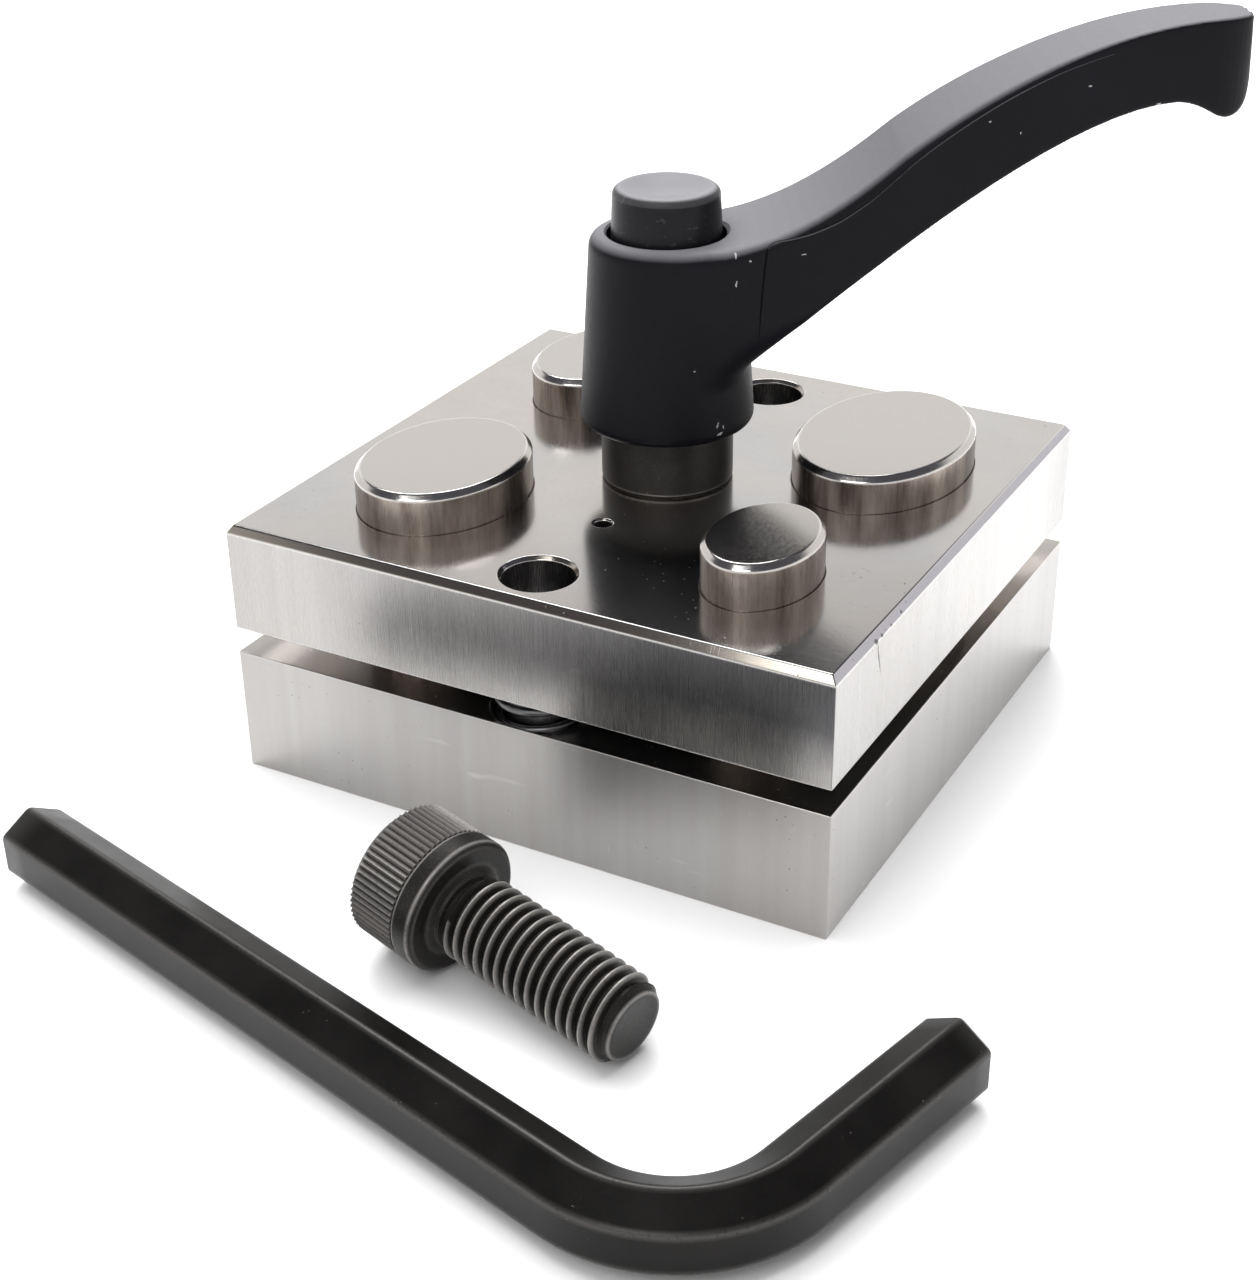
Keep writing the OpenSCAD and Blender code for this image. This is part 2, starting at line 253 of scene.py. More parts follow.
def oval(size, at, growth, steps):
    """Points of an oval seen from above, grown on every side."""
    turn = 2 * math.pi / steps
    return [(at[0] + (size[0] / 2 + growth) * math.cos(i * turn),
             at[1] + (size[1] / 2 + growth) * math.sin(i * turn)) for i in range(steps)]


def hexagon(flats, steps):
    """Points of a hexagon seen from above; steps is a multiple of six."""
    points = []
    for i in range(steps):
        a = 2 * math.pi * i / steps
        r = flats / 2 / math.cos((a % (math.pi / 3)) - math.pi / 6)
        points.append((r * math.cos(a), r * math.sin(a)))
    return points


def rectangle(width, depth, corner, inset):
    """Points of a rectangle with small round corners, drawn in by inset."""
    points = []
    for quarter, (sx, sy) in enumerate(((1, 1), (-1, 1), (-1, -1), (1, -1))):
        x = sx * (width / 2 - inset - corner)
        y = sy * (depth / 2 - inset - corner)
        for k in range(4):
            a = math.radians(90 * quarter + 30 * k)
            points.append((x + corner * math.cos(a), y + corner * math.sin(a)))
    return points


class Shell:
    """Points in millimetres, wear and faces of a piece that is being made."""

    def __init__(self):
        self.points = []
        self.wear = []
        self.faces = []

    def ring(self, outline, height, wear=0.0):
        """Adds a closed ring at one height and returns its numbers."""
        start = len(self.points)
        self.points += [(x, y, height) for x, y in outline]
        self.wear += [wear] * len(outline)
        return list(range(start, start + len(outline)))

    def loop(self, points, wear):
        """Adds a closed ring of points anywhere, with its own wear, and returns its numbers."""
        start = len(self.points)
        self.points += [tuple(p) for p in points]
        self.wear += list(wear)
        return list(range(start, start + len(points)))

    def stack(self, rings):
        """Joins each ring to the next with quads."""
        for low, high in zip(rings, rings[1:]):
            n = len(low)
            self.faces += [(low[i], low[(i + 1) % n], high[(i + 1) % n], high[i])
                           for i in range(n)]
        return rings

    def fill(self, rings):
        """Closes the flat region between an outer ring and the rings inside it."""
        loops = [[Vector(self.points[i]) for i in ring] for ring in rings]
        numbers = [i for ring in rings for i in ring]
        self.faces += [tuple(numbers[i] for i in face) for face in tessellate_polygon(loops)]

    def turned(self, rows, steps):
        """Adds a surface of revolution about Z from rows (radius, height, wear)."""
        return self.stack([self.ring(circle(max(r, 0), steps), z, w) for r, z, w in rows])


def tidy_mesh(mesh, sharp=60):
    """Merges doubled points, closes poles, points the faces outwards and shades smoothly."""
    bm = bmesh.new()
    bm.from_mesh(mesh)
    bmesh.ops.remove_doubles(bm, verts=bm.verts, dist=2e-7)
    bmesh.ops.dissolve_degenerate(bm, edges=bm.edges, dist=1e-7)
    bmesh.ops.recalc_face_normals(bm, faces=bm.faces)
    for face in bm.faces:
        face.smooth = True
    bm.to_mesh(mesh)
    bm.free()
    mesh.set_sharp_from_angle(angle=math.radians(sharp))
    return mesh


def mesh_of(name, shell, place=None, sharp=60):
    """Mesh of a shell, in metres."""
    mesh = bpy.data.meshes.new(name)
    mesh.from_pydata([Vector(p) * MM for p in shell.points], [], shell.faces)
    set_wear(mesh, shell.wear)
    if place is not None:
        mesh.transform(place)
    return tidy_mesh(mesh, sharp)


def set_wear(mesh, values):
    """Gives the points of a mesh their wear: one value each, or one for all."""
    layer = mesh.attributes.get("wear") or mesh.attributes.new("wear", "FLOAT", "POINT")
    everywhere = np.broadcast_to(np.asarray(values, np.float32), len(mesh.vertices))
    layer.data.foreach_set("value", np.ascontiguousarray(everywhere))


def linked(name, mesh):
    """Object of a mesh, at the origin of the scene."""
    piece = bpy.data.objects.new(name, mesh)
    bpy.context.scene.collection.objects.link(piece)
    return piece


def applied(holder):
    """Plain mesh that an object's modifiers make; the object is removed."""
    bpy.context.view_layer.update()
    seen = holder.evaluated_get(bpy.context.evaluated_depsgraph_get())
    mesh = bpy.data.meshes.new_from_object(seen)
    bpy.data.objects.remove(holder)
    return mesh


def settle(piece, node, body, material=None):
    """Puts a finished piece on its body, in its node's place and with its finish."""
    if material is not None:
        piece.data.materials.clear()
        piece.data.materials.append(material)
    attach(piece, body)
    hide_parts(node)
    return piece


def joined(mesh, *others):
    """Adds other meshes' points and faces to the first one."""
    bm = bmesh.new()
    for part in (mesh, *others):
        bm.from_mesh(part)
    bm.to_mesh(mesh)
    bm.free()
    for part in others:
        bpy.data.meshes.remove(part)
    return mesh


def thread(shell, major, pitch, low, high, steps, run_in, run_out):
    """Adds a right-hand thread whose crests follow a helix; both ends run down to the root.

    Returns the radius of the circles that the thread ends in.
    """
    depth = 0.6134 * pitch
    root = major - depth
    shape = ((0, 0), (0.0625, 0), (0.125, 0), (0.28, 0.5), (0.4375, 1), (0.5625, 1),
             (0.6875, 1), (0.84, 0.5))
    turns = math.ceil((high - low) / pitch) + 2
    columns = []
    for i in range(steps):
        column = []
        for k in range(turns):
            for phase, share in shape:
                z = low + (k - 1 + phase + i / steps) * pitch
                z = min(max(z, low), high)
                limit = min(major, root + depth * (z - low) / run_in,
                            root + depth * (high - z) / run_out)
                r = min(major - depth * share, limit)
                a = 2 * math.pi * i / steps
                crest = 1.0 if share == 0 and limit >= major else 0.0
                column.append(len(shell.points))
                shell.points.append((r * math.cos(a), r * math.sin(a), z))
                shell.wear.append(crest)
        columns.append(column)
    per_turn = len(shape)
    for i in range(steps):
        here = columns[i]
        if i + 1 < steps:
            there = columns[i + 1]
        else:
            there = columns[0][per_turn:]
        for j in range(len(there) - 1):
            shell.faces.append((here[j], there[j], there[j + 1], here[j + 1]))
    return root


# ---------------------------------------------------------------- node trees


def add(tree, kind, values=None, **settings):
    """New node; values pairs a socket's name or number with a constant or an output."""
    node = tree.nodes.new(kind)
    for key, value in settings.items():
        setattr(node, key, value)
    for key, value in (values or {}).items():
        if isinstance(value, bpy.types.NodeSocket):
            tree.links.new(value, node.inputs[key])
        else:
            node.inputs[key].default_value = value
    return node


class Finish:
    """A procedural material on object coordinates, made step by step."""

    def __init__(self, name):
        self.material = bpy.data.materials.new(name)
        self.material.use_nodes = True
        self.tree = self.material.node_tree
        self.tree.nodes.clear()
        self.output = self.add("ShaderNodeOutputMaterial")
        self.shader = self.add("ShaderNodeBsdfPrincipled")
        self.tree.links.new(self.shader.outputs[0], self.output.inputs[0])
        source = self.add("ShaderNodeTexCoord")
        self.place = source.outputs["Object"]
        self.normal = source.outputs["Normal"]

    def add(self, kind, values=None, **settings):
        return add(self.tree, kind, values, **settings)

    def math(self, operation, a, b=0.0, clamp=False):
        return self.add("ShaderNodeMath", {0: a, 1: b}, operation=operation,
                        use_clamp=clamp).outputs[0]

    def noise(self, scale, detail=2.0, rough=0.5, turn=(0, 0, 0), shift=(0, 0, 0)):
        """Noise from 0 to 1; scale is how many times it repeats in a metre along x, y and z."""
        mapped = self.add("ShaderNodeMapping", {"Vector": self.place, "Location": shift,
                                                "Rotation": turn, "Scale": scale})
        return self.add("ShaderNodeTexNoise", {
            "Vector": mapped.outputs[0], "Scale": 1.0, "Detail": detail,
            "Roughness": rough}).outputs[0]

    def cells(self, scale, shift=(0, 0, 0)):
        """Distance to the nearest of scattered points, scale of them in a metre."""
        mapped = self.add("ShaderNodeMapping", {"Vector": self.place, "Location": shift})
        return self.add("ShaderNodeTexVoronoi", {"Vector": mapped.outputs[0],
                                                 "Scale": scale}).outputs["Distance"]

    def spots(self, marks):
        """Small uneven marks, each a (centre, turn, size): 1 inside any of them, 0 outside."""
        shake = self.add("ShaderNodeTexNoise", {"Vector": self.place, "Scale": 2600.0})
        shake = self.add("ShaderNodeVectorMath", {0: shake.outputs["Color"], 1: (0.5, 0.5, 0.5)},
                         operation="SUBTRACT")
        shake = self.add("ShaderNodeVectorMath", {0: shake.outputs[0], "Scale": 0.0005},
                         operation="SCALE")
        place = self.add("ShaderNodeVectorMath", {0: self.place, 1: shake.outputs[0]})
        found = None
        for centre, turn, size in marks:
            local = self.add("ShaderNodeMapping", {
                "Vector": place.outputs[0], "Location": centre, "Rotation": turn,
                "Scale": size}, vector_type="TEXTURE")
            reach = self.add("ShaderNodeVectorMath", {0: local.outputs[0]}, operation="LENGTH")
            near = self.window(reach.outputs["Value"], 1.0, 0.7)
            found = near if found is None else self.math("MAXIMUM", found, near)
        return found

    def window(self, value, start, end, low=0.0, high=1.0):
        """Value from start to end, mapped to low to high and held beyond them."""
        return self.add("ShaderNodeMapRange", {
            0: value, 1: start, 2: end, 3: low, 4: high}).outputs[0]

    def mix(self, share, a, b):
        """Colour between a and b."""
        pair = {0: share}
        for number, colour in ((6, a), (7, b)):
            pair[number] = colour if isinstance(colour, bpy.types.NodeSocket) else rgba(colour)
        return self.add("ShaderNodeMix", pair, data_type="RGBA").outputs[2]

    def channel(self, share, a, b):
        """Value between a and b, passed through a colour's first channel."""
        return self.add("ShaderNodeSeparateColor", {0: self.mix(share, a, b)}).outputs[0]

    def attribute(self, name):
        return self.add("ShaderNodeAttribute", attribute_name=name).outputs["Fac"]

    def upward(self):
        """How far a face looks up or down, from 0 to 1."""
        parts = self.add("ShaderNodeSeparateXYZ", {0: self.normal})
        return self.math("ABSOLUTE", parts.outputs[2])

    def facing_up(self):
        """How far a face looks up: 1 for level ground, 0 for a wall, less for a ceiling."""
        return self.add("ShaderNodeSeparateXYZ", {0: self.normal}).outputs[2]

    def bump(self, height, distance, strength=1.0):
        node = self.add("ShaderNodeBump", {"Height": height, "Distance": distance,
                                           "Strength": strength})
        self.tree.links.new(node.outputs[0], self.shader.inputs["Normal"])

    def set(self, **values):
        names = {"base": "Base Color", "metallic": "Metallic", "roughness": "Roughness",
                 "specular": "Specular IOR Level", "coat": "Coat Weight",
                 "coat_roughness": "Coat Roughness"}
        for key, value in values.items():
            socket = self.shader.inputs[names[key]]
            if isinstance(value, bpy.types.NodeSocket):
                self.tree.links.new(value, socket)
            else:
                socket.default_value = rgba(value) if key == "base" else value
        return self


def rgba(colour):
    """Colour with its opacity."""
    return (*colour[:3], 1.0)


def shade(colour, factor):
    """The same colour, lighter or darker."""
    return tuple(min(1.0, c * factor) for c in colour)


def plate_steel(name, colour, top_roughness, side_roughness, marks=(), painted_reflection=False):
    """Ground plate: upright grain on the sides, crossed fine scratches on top, small pits.

    Marks are dark scratches. Painted shade makes the side faces darker than the top and the front
    faces darker still; the chamfers get a painted reflection by their direction; the upper plate
    can have a dark band across its front face, a painted reflection.
    """
    f = Finish(name)
    up = f.window(f.upward(), 0.3, 0.6)
    parts = f.add("ShaderNodeSeparateXYZ", {0: f.normal})
    front = f.window(parts.outputs[1], -0.2, -0.6)
    side_grain = f.noise((8500, 8500, 110), 3)
    top_grain = f.noise((1500, 5200, 5200), 3, turn=(0, 0, 0.5))
    grain = f.channel(up, side_grain, top_grain)
    bands = f.noise((420, 420, 14), 2, shift=(0.3, 0.9, 0.2))
    cloud = f.noise((70, 70, 70), 4, 0.6)
    tints = f.noise((45, 45, 45), 2, shift=(7.0, 2.0, 1.0))
    scratches = f.math("MAXIMUM", f.noise((90, 12000, 500), 1, turn=(0, 0, 0.9)),
                       f.noise((12000, 110, 500), 1, turn=(0, 0, 0.35)))
    scratches = f.math("MULTIPLY", f.window(scratches, 0.72, 0.80), f.window(cloud, 0.4, 0.6))
    patches = f.window(f.noise((95, 95, 95), 2, shift=(3.1, 1.7, 0.4)), 0.50, 0.62)
    pits = f.math("MULTIPLY", f.window(f.cells(900), 0.10, 0.05), patches)
    if marks:
        pits = f.math("MAXIMUM", pits, f.spots(marks), clamp=True)
    worn = f.attribute("wear")
    tone = f.mix(f.window(cloud, 0.3, 0.7), shade(colour, 0.95), shade(colour, 1.04))
    warm = f.mix(f.window(tints, 0.35, 0.65), (0.93, 0.95, 1.0), (1.0, 0.95, 0.92))
    tone = f.add("ShaderNodeMix", {0: 0.6, 6: tone, 7: warm}, data_type="RGBA",
                 blend_type="MULTIPLY").outputs[2]
    streaks = f.math("MULTIPLY", f.window(grain, 0.65, 0.35), f.window(up, 0, 1, 0.16, 0.10))
    tone = f.mix(streaks, tone, shade(colour, 0.45))
    # Painted shade: side faces get a fixed grey darker than the top, and the faces looking towards
    # -y a darker one still.
    side = f.mix(f.window(bands, 0.35, 0.65), (0.455, 0.445, 0.435), (0.485, 0.475, 0.465))
    front_painted_shade = f.mix(f.window(bands, 0.35, 0.65), (0.325, 0.315, 0.305), (0.355, 0.345, 0.335))
    tone = f.mix(f.window(up, 0, 1, 0.85, 0.0), tone, f.mix(front, side, front_painted_shade))
    # Painted reflection: a dark band across the upper part of the front face, stronger towards +x.
    if painted_reflection:
        at = f.add("ShaderNodeSeparateXYZ", {0: f.place})
        wander = f.math("ADD", at.outputs[2], f.window(cloud, 0.3, 0.7, -0.0015, 0.0015))
        reflection_band_mask = f.math("MULTIPLY", f.window(at.outputs[0], -0.030, 0.020),
                      f.window(wander, 0.0215, 0.0265))
        tone = f.mix(f.math("MULTIPLY", f.math("MULTIPLY", reflection_band_mask, front), 0.85), tone,
                     (0.11, 0.108, 0.115))
    # Painted reflection: chamfers get a tone by direction, cool and pale on the front faces, warm
    # elsewhere.
    slope = f.math("MULTIPLY", f.window(f.math("ABSOLUTE", parts.outputs[2]), 0.35, 0.45),
                   f.window(f.math("ABSOLUTE", parts.outputs[2]), 0.85, 0.7))
    chamfer_painted_reflection = f.mix(front, (0.45, 0.44, 0.49), (0.40, 0.36, 0.31))
    tone = f.mix(f.math("MULTIPLY", slope, 0.85), tone, chamfer_painted_reflection)
    tone = f.mix(f.math("MULTIPLY", scratches, 0.3), tone, shade(colour, 1.25))
    tone = f.mix(f.math("MULTIPLY", worn, 0.6), tone, (0.88, 0.87, 0.85))
    tone = f.mix(f.math("MULTIPLY", pits, 0.75), tone, (0.07, 0.065, 0.06))
    rough = f.math("ADD", f.window(up, 0, 1, side_roughness, top_roughness),
                   f.window(grain, 0.3, 0.7, -0.015, 0.02))
    rough = f.math("ADD", rough, f.math("MULTIPLY", pits, 0.3), clamp=True)
    height = f.math("ADD", f.math("MULTIPLY", grain, f.window(up, 0, 1, 0.004, 0.12)),
                    f.math("MULTIPLY", scratches, 0.1))
    height = f.math("SUBTRACT", height, pits)
    f.bump(height, 0.00002, 0.5)
    f.set(base=tone, metallic=1.0, roughness=rough)
    return f.material


def punch_steel(name, colour):
    """Hardened punch: brownish sides with upright bands, bright flat end."""
    f = Finish(name)
    up = f.window(f.upward(), 0.3, 0.6)
    side_grain = f.noise((2600, 2600, 90), 3)
    top_grain = f.noise((4200, 1500, 4200), 3, turn=(0, 0, 0.7))
    grain = f.channel(up, side_grain, top_grain)
    cloud = f.noise((300, 300, 60), 4, 0.6)
    worn = f.attribute("wear")
    brown = f.mix(f.window(cloud, 0.35, 0.65), (0.13, 0.10, 0.085), (0.36, 0.31, 0.27))
    side = f.mix(f.math("MULTIPLY", f.window(grain, 0.4, 0.7), 0.25), brown, shade(colour, 0.6))
    top = f.mix(f.window(grain, 0.2, 0.8), shade(colour, 0.94), shade(colour, 1.06))
    tone = f.mix(up, side, top)
    tone = f.mix(f.math("MULTIPLY", worn, 0.7), tone, (0.86, 0.85, 0.83))
    rough = f.math("ADD", f.window(up, 0, 1, 0.28, 0.16), f.window(grain, 0.3, 0.7, -0.03, 0.04),
                   clamp=True)
    f.bump(grain, 0.000003, 0.5)
    f.set(base=tone, metallic=1.0, roughness=rough)
    return f.material


def turned_steel(name, colour, roughness):
    """Turned or drawn steel: fine rings and a slight cloud of colour."""
    f = Finish(name)
    rings = f.noise((400, 400, 6500), 2)
    cloud = f.noise((300, 300, 300), 3)
    worn = f.attribute("wear")
    tone = f.mix(f.window(rings, 0.3, 0.7), shade(colour, 0.75), shade(colour, 1.15))
    tone = f.mix(f.math("MULTIPLY", f.window(cloud, 0.5, 0.75), 0.4), tone, shade(colour, 0.55))
    tone = f.mix(f.math("MULTIPLY", worn, 0.5), tone, (0.75, 0.75, 0.74))
    f.bump(rings, 0.00001, 0.5)
    f.set(base=tone, metallic=1.0, roughness=f.window(cloud, 0.2, 0.8, roughness - 0.06,
                                                      roughness + 0.1))
    return f.material


def oxide_steel(name, colour, roughness, worn_share, bloom):
    """Blackened steel: oily black with a faint rusty bloom, bare metal on the worn edges."""
    f = Finish(name)
    cloud = f.noise((150, 150, 150), 3, 0.5)
    fine = f.noise((3800, 3800, 3800), 3, 0.6)
    specks = f.window(f.cells(1100), 0.09, 0.05)
    specks = f.math("MULTIPLY", specks, f.window(f.noise((210, 210, 210), 2), 0.58, 0.66))
    chips = f.window(f.noise((2600, 2600, 2600), 2), 0.25, 0.45, 0.55, 1.0)
    worn = f.math("MULTIPLY", f.attribute("wear"), chips)
    tone = f.mix(f.window(cloud, 0.35, 0.7), shade(colour, 0.8), shade(colour, 1.2))
    tone = f.mix(f.math("MULTIPLY", f.window(fine, 0.5, 0.8), bloom), tone, (0.10, 0.088, 0.078))
    tone = f.mix(f.math("MULTIPLY", worn, worn_share), tone, (0.46, 0.44, 0.42))
    tone = f.mix(f.math("MULTIPLY", specks, 0.5), tone, (0.30, 0.28, 0.25))
    f.bump(f.math("SUBTRACT", fine, specks), 0.00002, 0.3)
    f.set(base=tone, metallic=0.5, specular=0.2,
          roughness=f.window(cloud, 0.25, 0.75, roughness - 0.04, roughness + 0.05))
    return f.material


def powder_coat(name, colour, marks):
    """Matte black coat on the cast lever: fine texture and a few knocks that show the zinc."""
    f = Finish(name)
    peel = f.noise((1700, 1700, 1700), 2)
    fine = f.noise((6500, 6500, 6500), 2)
    cloud = f.noise((45, 45, 45), 3)
    edge = f.window(f.noise((900, 900, 900), 3, 0.7), 0.60, 0.72)
    edge = f.math("MULTIPLY", edge, f.window(f.attribute("wear"), 0.8, 1.0))
    bare = f.math("MAXIMUM", f.spots(marks), f.math("MULTIPLY", edge, 0.12), clamp=True)
    tone = f.mix(f.window(cloud, 0.3, 0.7), shade(colour, 0.85), shade(colour, 1.2))
    # Painted sheen: faces that look up are made paler grey, in place of light from above.
    tone = f.mix(f.window(f.facing_up(), 0.45, 1.0, 0.0, 0.9), tone, (0.185, 0.185, 0.198))
    tone = f.mix(f.math("MULTIPLY", bare, 0.8), tone, (0.42, 0.42, 0.42))
    height = f.math("SUBTRACT", f.math("ADD", peel, f.math("MULTIPLY", fine, 0.35)), bare)
    f.bump(height, 0.00003, 0.35)
    f.set(base=tone, metallic=0.0, specular=0.10, roughness=f.window(peel, 0.2, 0.8, 0.38, 0.46))
    return f.material


def button_plastic(name, colour):
    """Satin black button with fine turning rings and light rub marks."""
    f = Finish(name)
    fine = f.noise((5200, 5200, 5200), 3)
    rubs = f.window(f.noise((1300, 260, 1300), 2, turn=(0, 0, 0.8)), 0.64, 0.76)
    tone = f.mix(f.window(fine, 0.3, 0.7), shade(colour, 0.85), shade(colour, 1.25))
    tone = f.mix(f.math("MULTIPLY", rubs, 0.10), tone, (0.30, 0.29, 0.28))
    # Painted sheen: the top, which looks up, is made paler grey.
    tone = f.mix(f.window(f.facing_up(), 0.75, 1.0, 0.0, 0.9), tone, (0.23, 0.23, 0.245))
    tone = f.mix(f.math("MULTIPLY", f.attribute("wear"), 0.15), tone, (0.30, 0.30, 0.31))
    f.bump(fine, 0.00002, 0.3)
    f.set(base=tone, metallic=0.0, specular=0.14, roughness=f.window(rubs, 0, 1, 0.34, 0.44))
    return f.material


# ---------------------------------------------------------------- plates, punches and pins

PUNCHES = ("punch_1", "punch_2", "punch_3", "punch_4")
PINS = ("guide_pin_front", "guide_pin_rear")
HOLE_STEPS = 96
# Past the edge of any face: where a profile's unused ends lie
FAR = 4.0


def straight(low, high):
    """Profile of a plain hole: distance into the material, then height."""
    return [(FAR, low), (0, low), (0, high), (FAR, high)]


def plate(name, outer_profile, holes, block):
    """Mesh of a plate from its edge's profile and its holes (outline of growth, profile, ease)."""
    shell = Shell()
    width, depth, _ = size_of(name)
    ease = block.edge_ease / MM
    corner = block.corner_radius / MM
    stacks = [[shell.ring(rectangle(width, depth, corner, inset), z, w)
               for inset, z, w in eased(outer_profile, ease)]]
    for outline, profile, hole_ease in holes:
        stacks.append([shell.ring(outline(growth), z, w)
                       for growth, z, w in eased(profile, hole_ease)])
    for rings in stacks:
        shell.stack(rings)
    shell.fill([rings[0] for rings in stacks])
    shell.fill([rings[-1] for rings in stacks])
    return mesh_of(name + "_ground", shell)


def oval_slots(low, high, block):
    """Holes for the four punches."""
    clearance = block.slot_clearance / MM
    holes = []
    for node in PUNCHES:
        size = size_of(node)
        at = centre_of(node)
        holes.append((lambda growth, size=size, at=at:
                      oval(size, at, clearance + growth, block.oval_steps),
                      straight(low, high), 0.09))
    return holes


def round_hole(radius, at, profile, ease=0.09):
    """A round hole; the profile's distances are added to its radius."""
    return lambda growth: circle(radius + growth, HOLE_STEPS, at), profile, ease


def make_upper_plate(block, material):
    low, high = bottom_of("upper_plate"), top_of("upper_plate")
    wide, tall = block.chamfer_width / MM, block.chamfer_height / MM
    edge = [(FAR, low), (0, low), (0, high - tall), (wide, high), (wide + FAR, high)]
    mouth = 0.45
    guide = [(FAR, low), (0, low), (0, high - mouth), (mouth, high), (FAR, high)]
    sight = [(FAR, low), (0, low), (0, high - 0.2), (0.2, high), (FAR, high)]
    holes = oval_slots(low, high, block)
    holes.append(round_hole(5.5, (0, 0), straight(low, high)))
    holes.append(round_hole(1.1, (0, -16.6), sight, 0.05))
    for pin in PINS:
        holes.append(round_hole(4.28, centre_of(pin), guide, 0.06))
    piece = linked("upper_plate_ground", plate("upper_plate", edge, holes, block))
    return settle(piece, "upper_plate", "guide_plate", material)


def make_lower_plate(block, material):
    low, high = bottom_of("lower_plate"), top_of("lower_plate")
    edge = [(FAR, low), (0, low), (0, high), (FAR, high)]
    floor = bottom_of("lift_spring_front")
    step = 2.05
    seat = [(FAR, low), (0, low), (0, floor), (step, floor), (step, high), (step + FAR, high)]
    holes = oval_slots(low, high, block)
    holes.append(round_hole(5.05, (0, 0), straight(low, high)))
    for pin in PINS:
        holes.append(round_hole(4.25, centre_of(pin), seat))
    piece = linked("lower_plate_ground", plate("lower_plate", edge, holes, block))
    return settle(piece, "lower_plate", "base", material)


def make_punch(node, block, material):
    size = size_of(node)
    at = centre_of(node)
    low, high = bottom_of(node), top_of(node)
    chamfer = block.punch_chamfer / MM
    profile = [(FAR, low), (0, low), (0, high - chamfer), (chamfer, high), (chamfer + FAR, high)]
    shell = Shell()
    rings = shell.stack([shell.ring(oval(size, at, -inset, block.oval_steps), z, w)
                         for inset, z, w in eased(profile, 0.13)])
    shell.fill([rings[0]])
    shell.fill([rings[-1]])
    piece = linked(node + "_ground", mesh_of(node + "_ground", shell))
    return settle(piece, node, node + "_body", material)


def make_pin(node, material):
    """Guide pin with chamfered ends and the small centre hole left by grinding."""
    low, high = bottom_of(node), top_of(node)
    r = size_of(node)[0] / 2
    bevel = 0.8
    profile = [(-1, low), (0, low), (r - bevel, low), (r, low + bevel), (r, high - bevel),
               (r - bevel, high), (0.9, high), (0, high - 0.8), (-1, high - 0.8)]
    rows = [(0, low, 0)] + eased(profile[1:-1], 0.1) + [(0, high - 0.8, 0)]
    shell = Shell()
    shell.turned(rows, HOLE_STEPS)
    x, y = centre_of(node)
    mesh = mesh_of(node + "_ground", shell, Matrix.Translation((x * MM, y * MM, 0)))
    return settle(linked(node + "_ground", mesh), node, "base", material)


# ---------------------------------------------------------------- springs and rings of bars


def group(name, sockets):
    """Empty geometry tree with named inputs and one geometry output."""
    tree = bpy.data.node_groups.new(name, "GeometryNodeTree")
    for label, kind, value in sockets:
        socket = tree.interface.new_socket(label, in_out="INPUT", socket_type=kind)
        if value is not None:
            socket.default_value = value
    tree.interface.new_socket("Geometry", in_out="OUTPUT", socket_type="NodeSocketGeometry")
    return tree


def grown(name, tree, values):
    """Plain mesh that a geometry tree makes with these input values."""
    holder = linked(name, bpy.data.meshes.new(name + "_seed"))
    modifier = holder.modifiers.new("Build", "NODES")
    modifier.node_group = tree
    for item in tree.interface.items_tree:
        if item.in_out == "INPUT" and item.name in values:
            modifier[item.identifier] = values[item.name]
    mesh = applied(holder)
    if not mesh.polygons:
        raise RuntimeError(f"the geometry tree {tree.name} made no faces for {name}")
    return mesh


def coil_tree():
    """Compression spring on Z with closed ends."""
    tree = group("coil_spring", [
        ("Coil Radius", "NodeSocketFloat", 0.005), ("Wire Radius", "NodeSocketFloat", 0.0005),
        ("Turns", "NodeSocketFloat", 5.0), ("Height", "NodeSocketFloat", 0.01),
        ("Closed Turns", "NodeSocketFloat", 0.75), ("Material", "NodeSocketMaterial", None)])
    source = add(tree, "NodeGroupInput").outputs

    def calc(operation, a, b=0.0):
        return add(tree, "ShaderNodeMath", {0: a, 1: b}, operation=operation).outputs[0]

    line = add(tree, "GeometryNodeCurvePrimitiveLine")
    count = add(tree, "GeometryNodeResampleCurve", {"Curve": line.outputs[0], "Count": 241})
    share = add(tree, "GeometryNodeSplineParameter").outputs["Factor"]
    angle = calc("MULTIPLY", calc("MULTIPLY", share, source["Turns"]), 2 * math.pi)
    dead = calc("DIVIDE", source["Closed Turns"], source["Turns"])
    top = calc("SUBTRACT", source["Height"], source["Wire Radius"])
    height = add(tree, "ShaderNodeMapRange", {
        0: share, 1: dead, 2: calc("SUBTRACT", 1.0, dead),
        3: source["Wire Radius"], 4: top}).outputs[0]
    place = add(tree, "ShaderNodeCombineXYZ", {
        0: calc("MULTIPLY", calc("COSINE", angle), source["Coil Radius"]),
        1: calc("MULTIPLY", calc("SINE", angle), source["Coil Radius"]), 2: height})
    helix = add(tree, "GeometryNodeSetPosition", {"Geometry": count.outputs[0],
                                                  "Position": place.outputs[0]})
    wire = add(tree, "GeometryNodeCurvePrimitiveCircle", {"Resolution": 14,
                                                          "Radius": source["Wire Radius"]})
    tube = add(tree, "GeometryNodeCurveToMesh", {
        "Curve": helix.outputs[0], "Profile Curve": wire.outputs[0], "Fill Caps": True})
    finish_tree(tree, tube.outputs[0], source["Material"])
    return tree


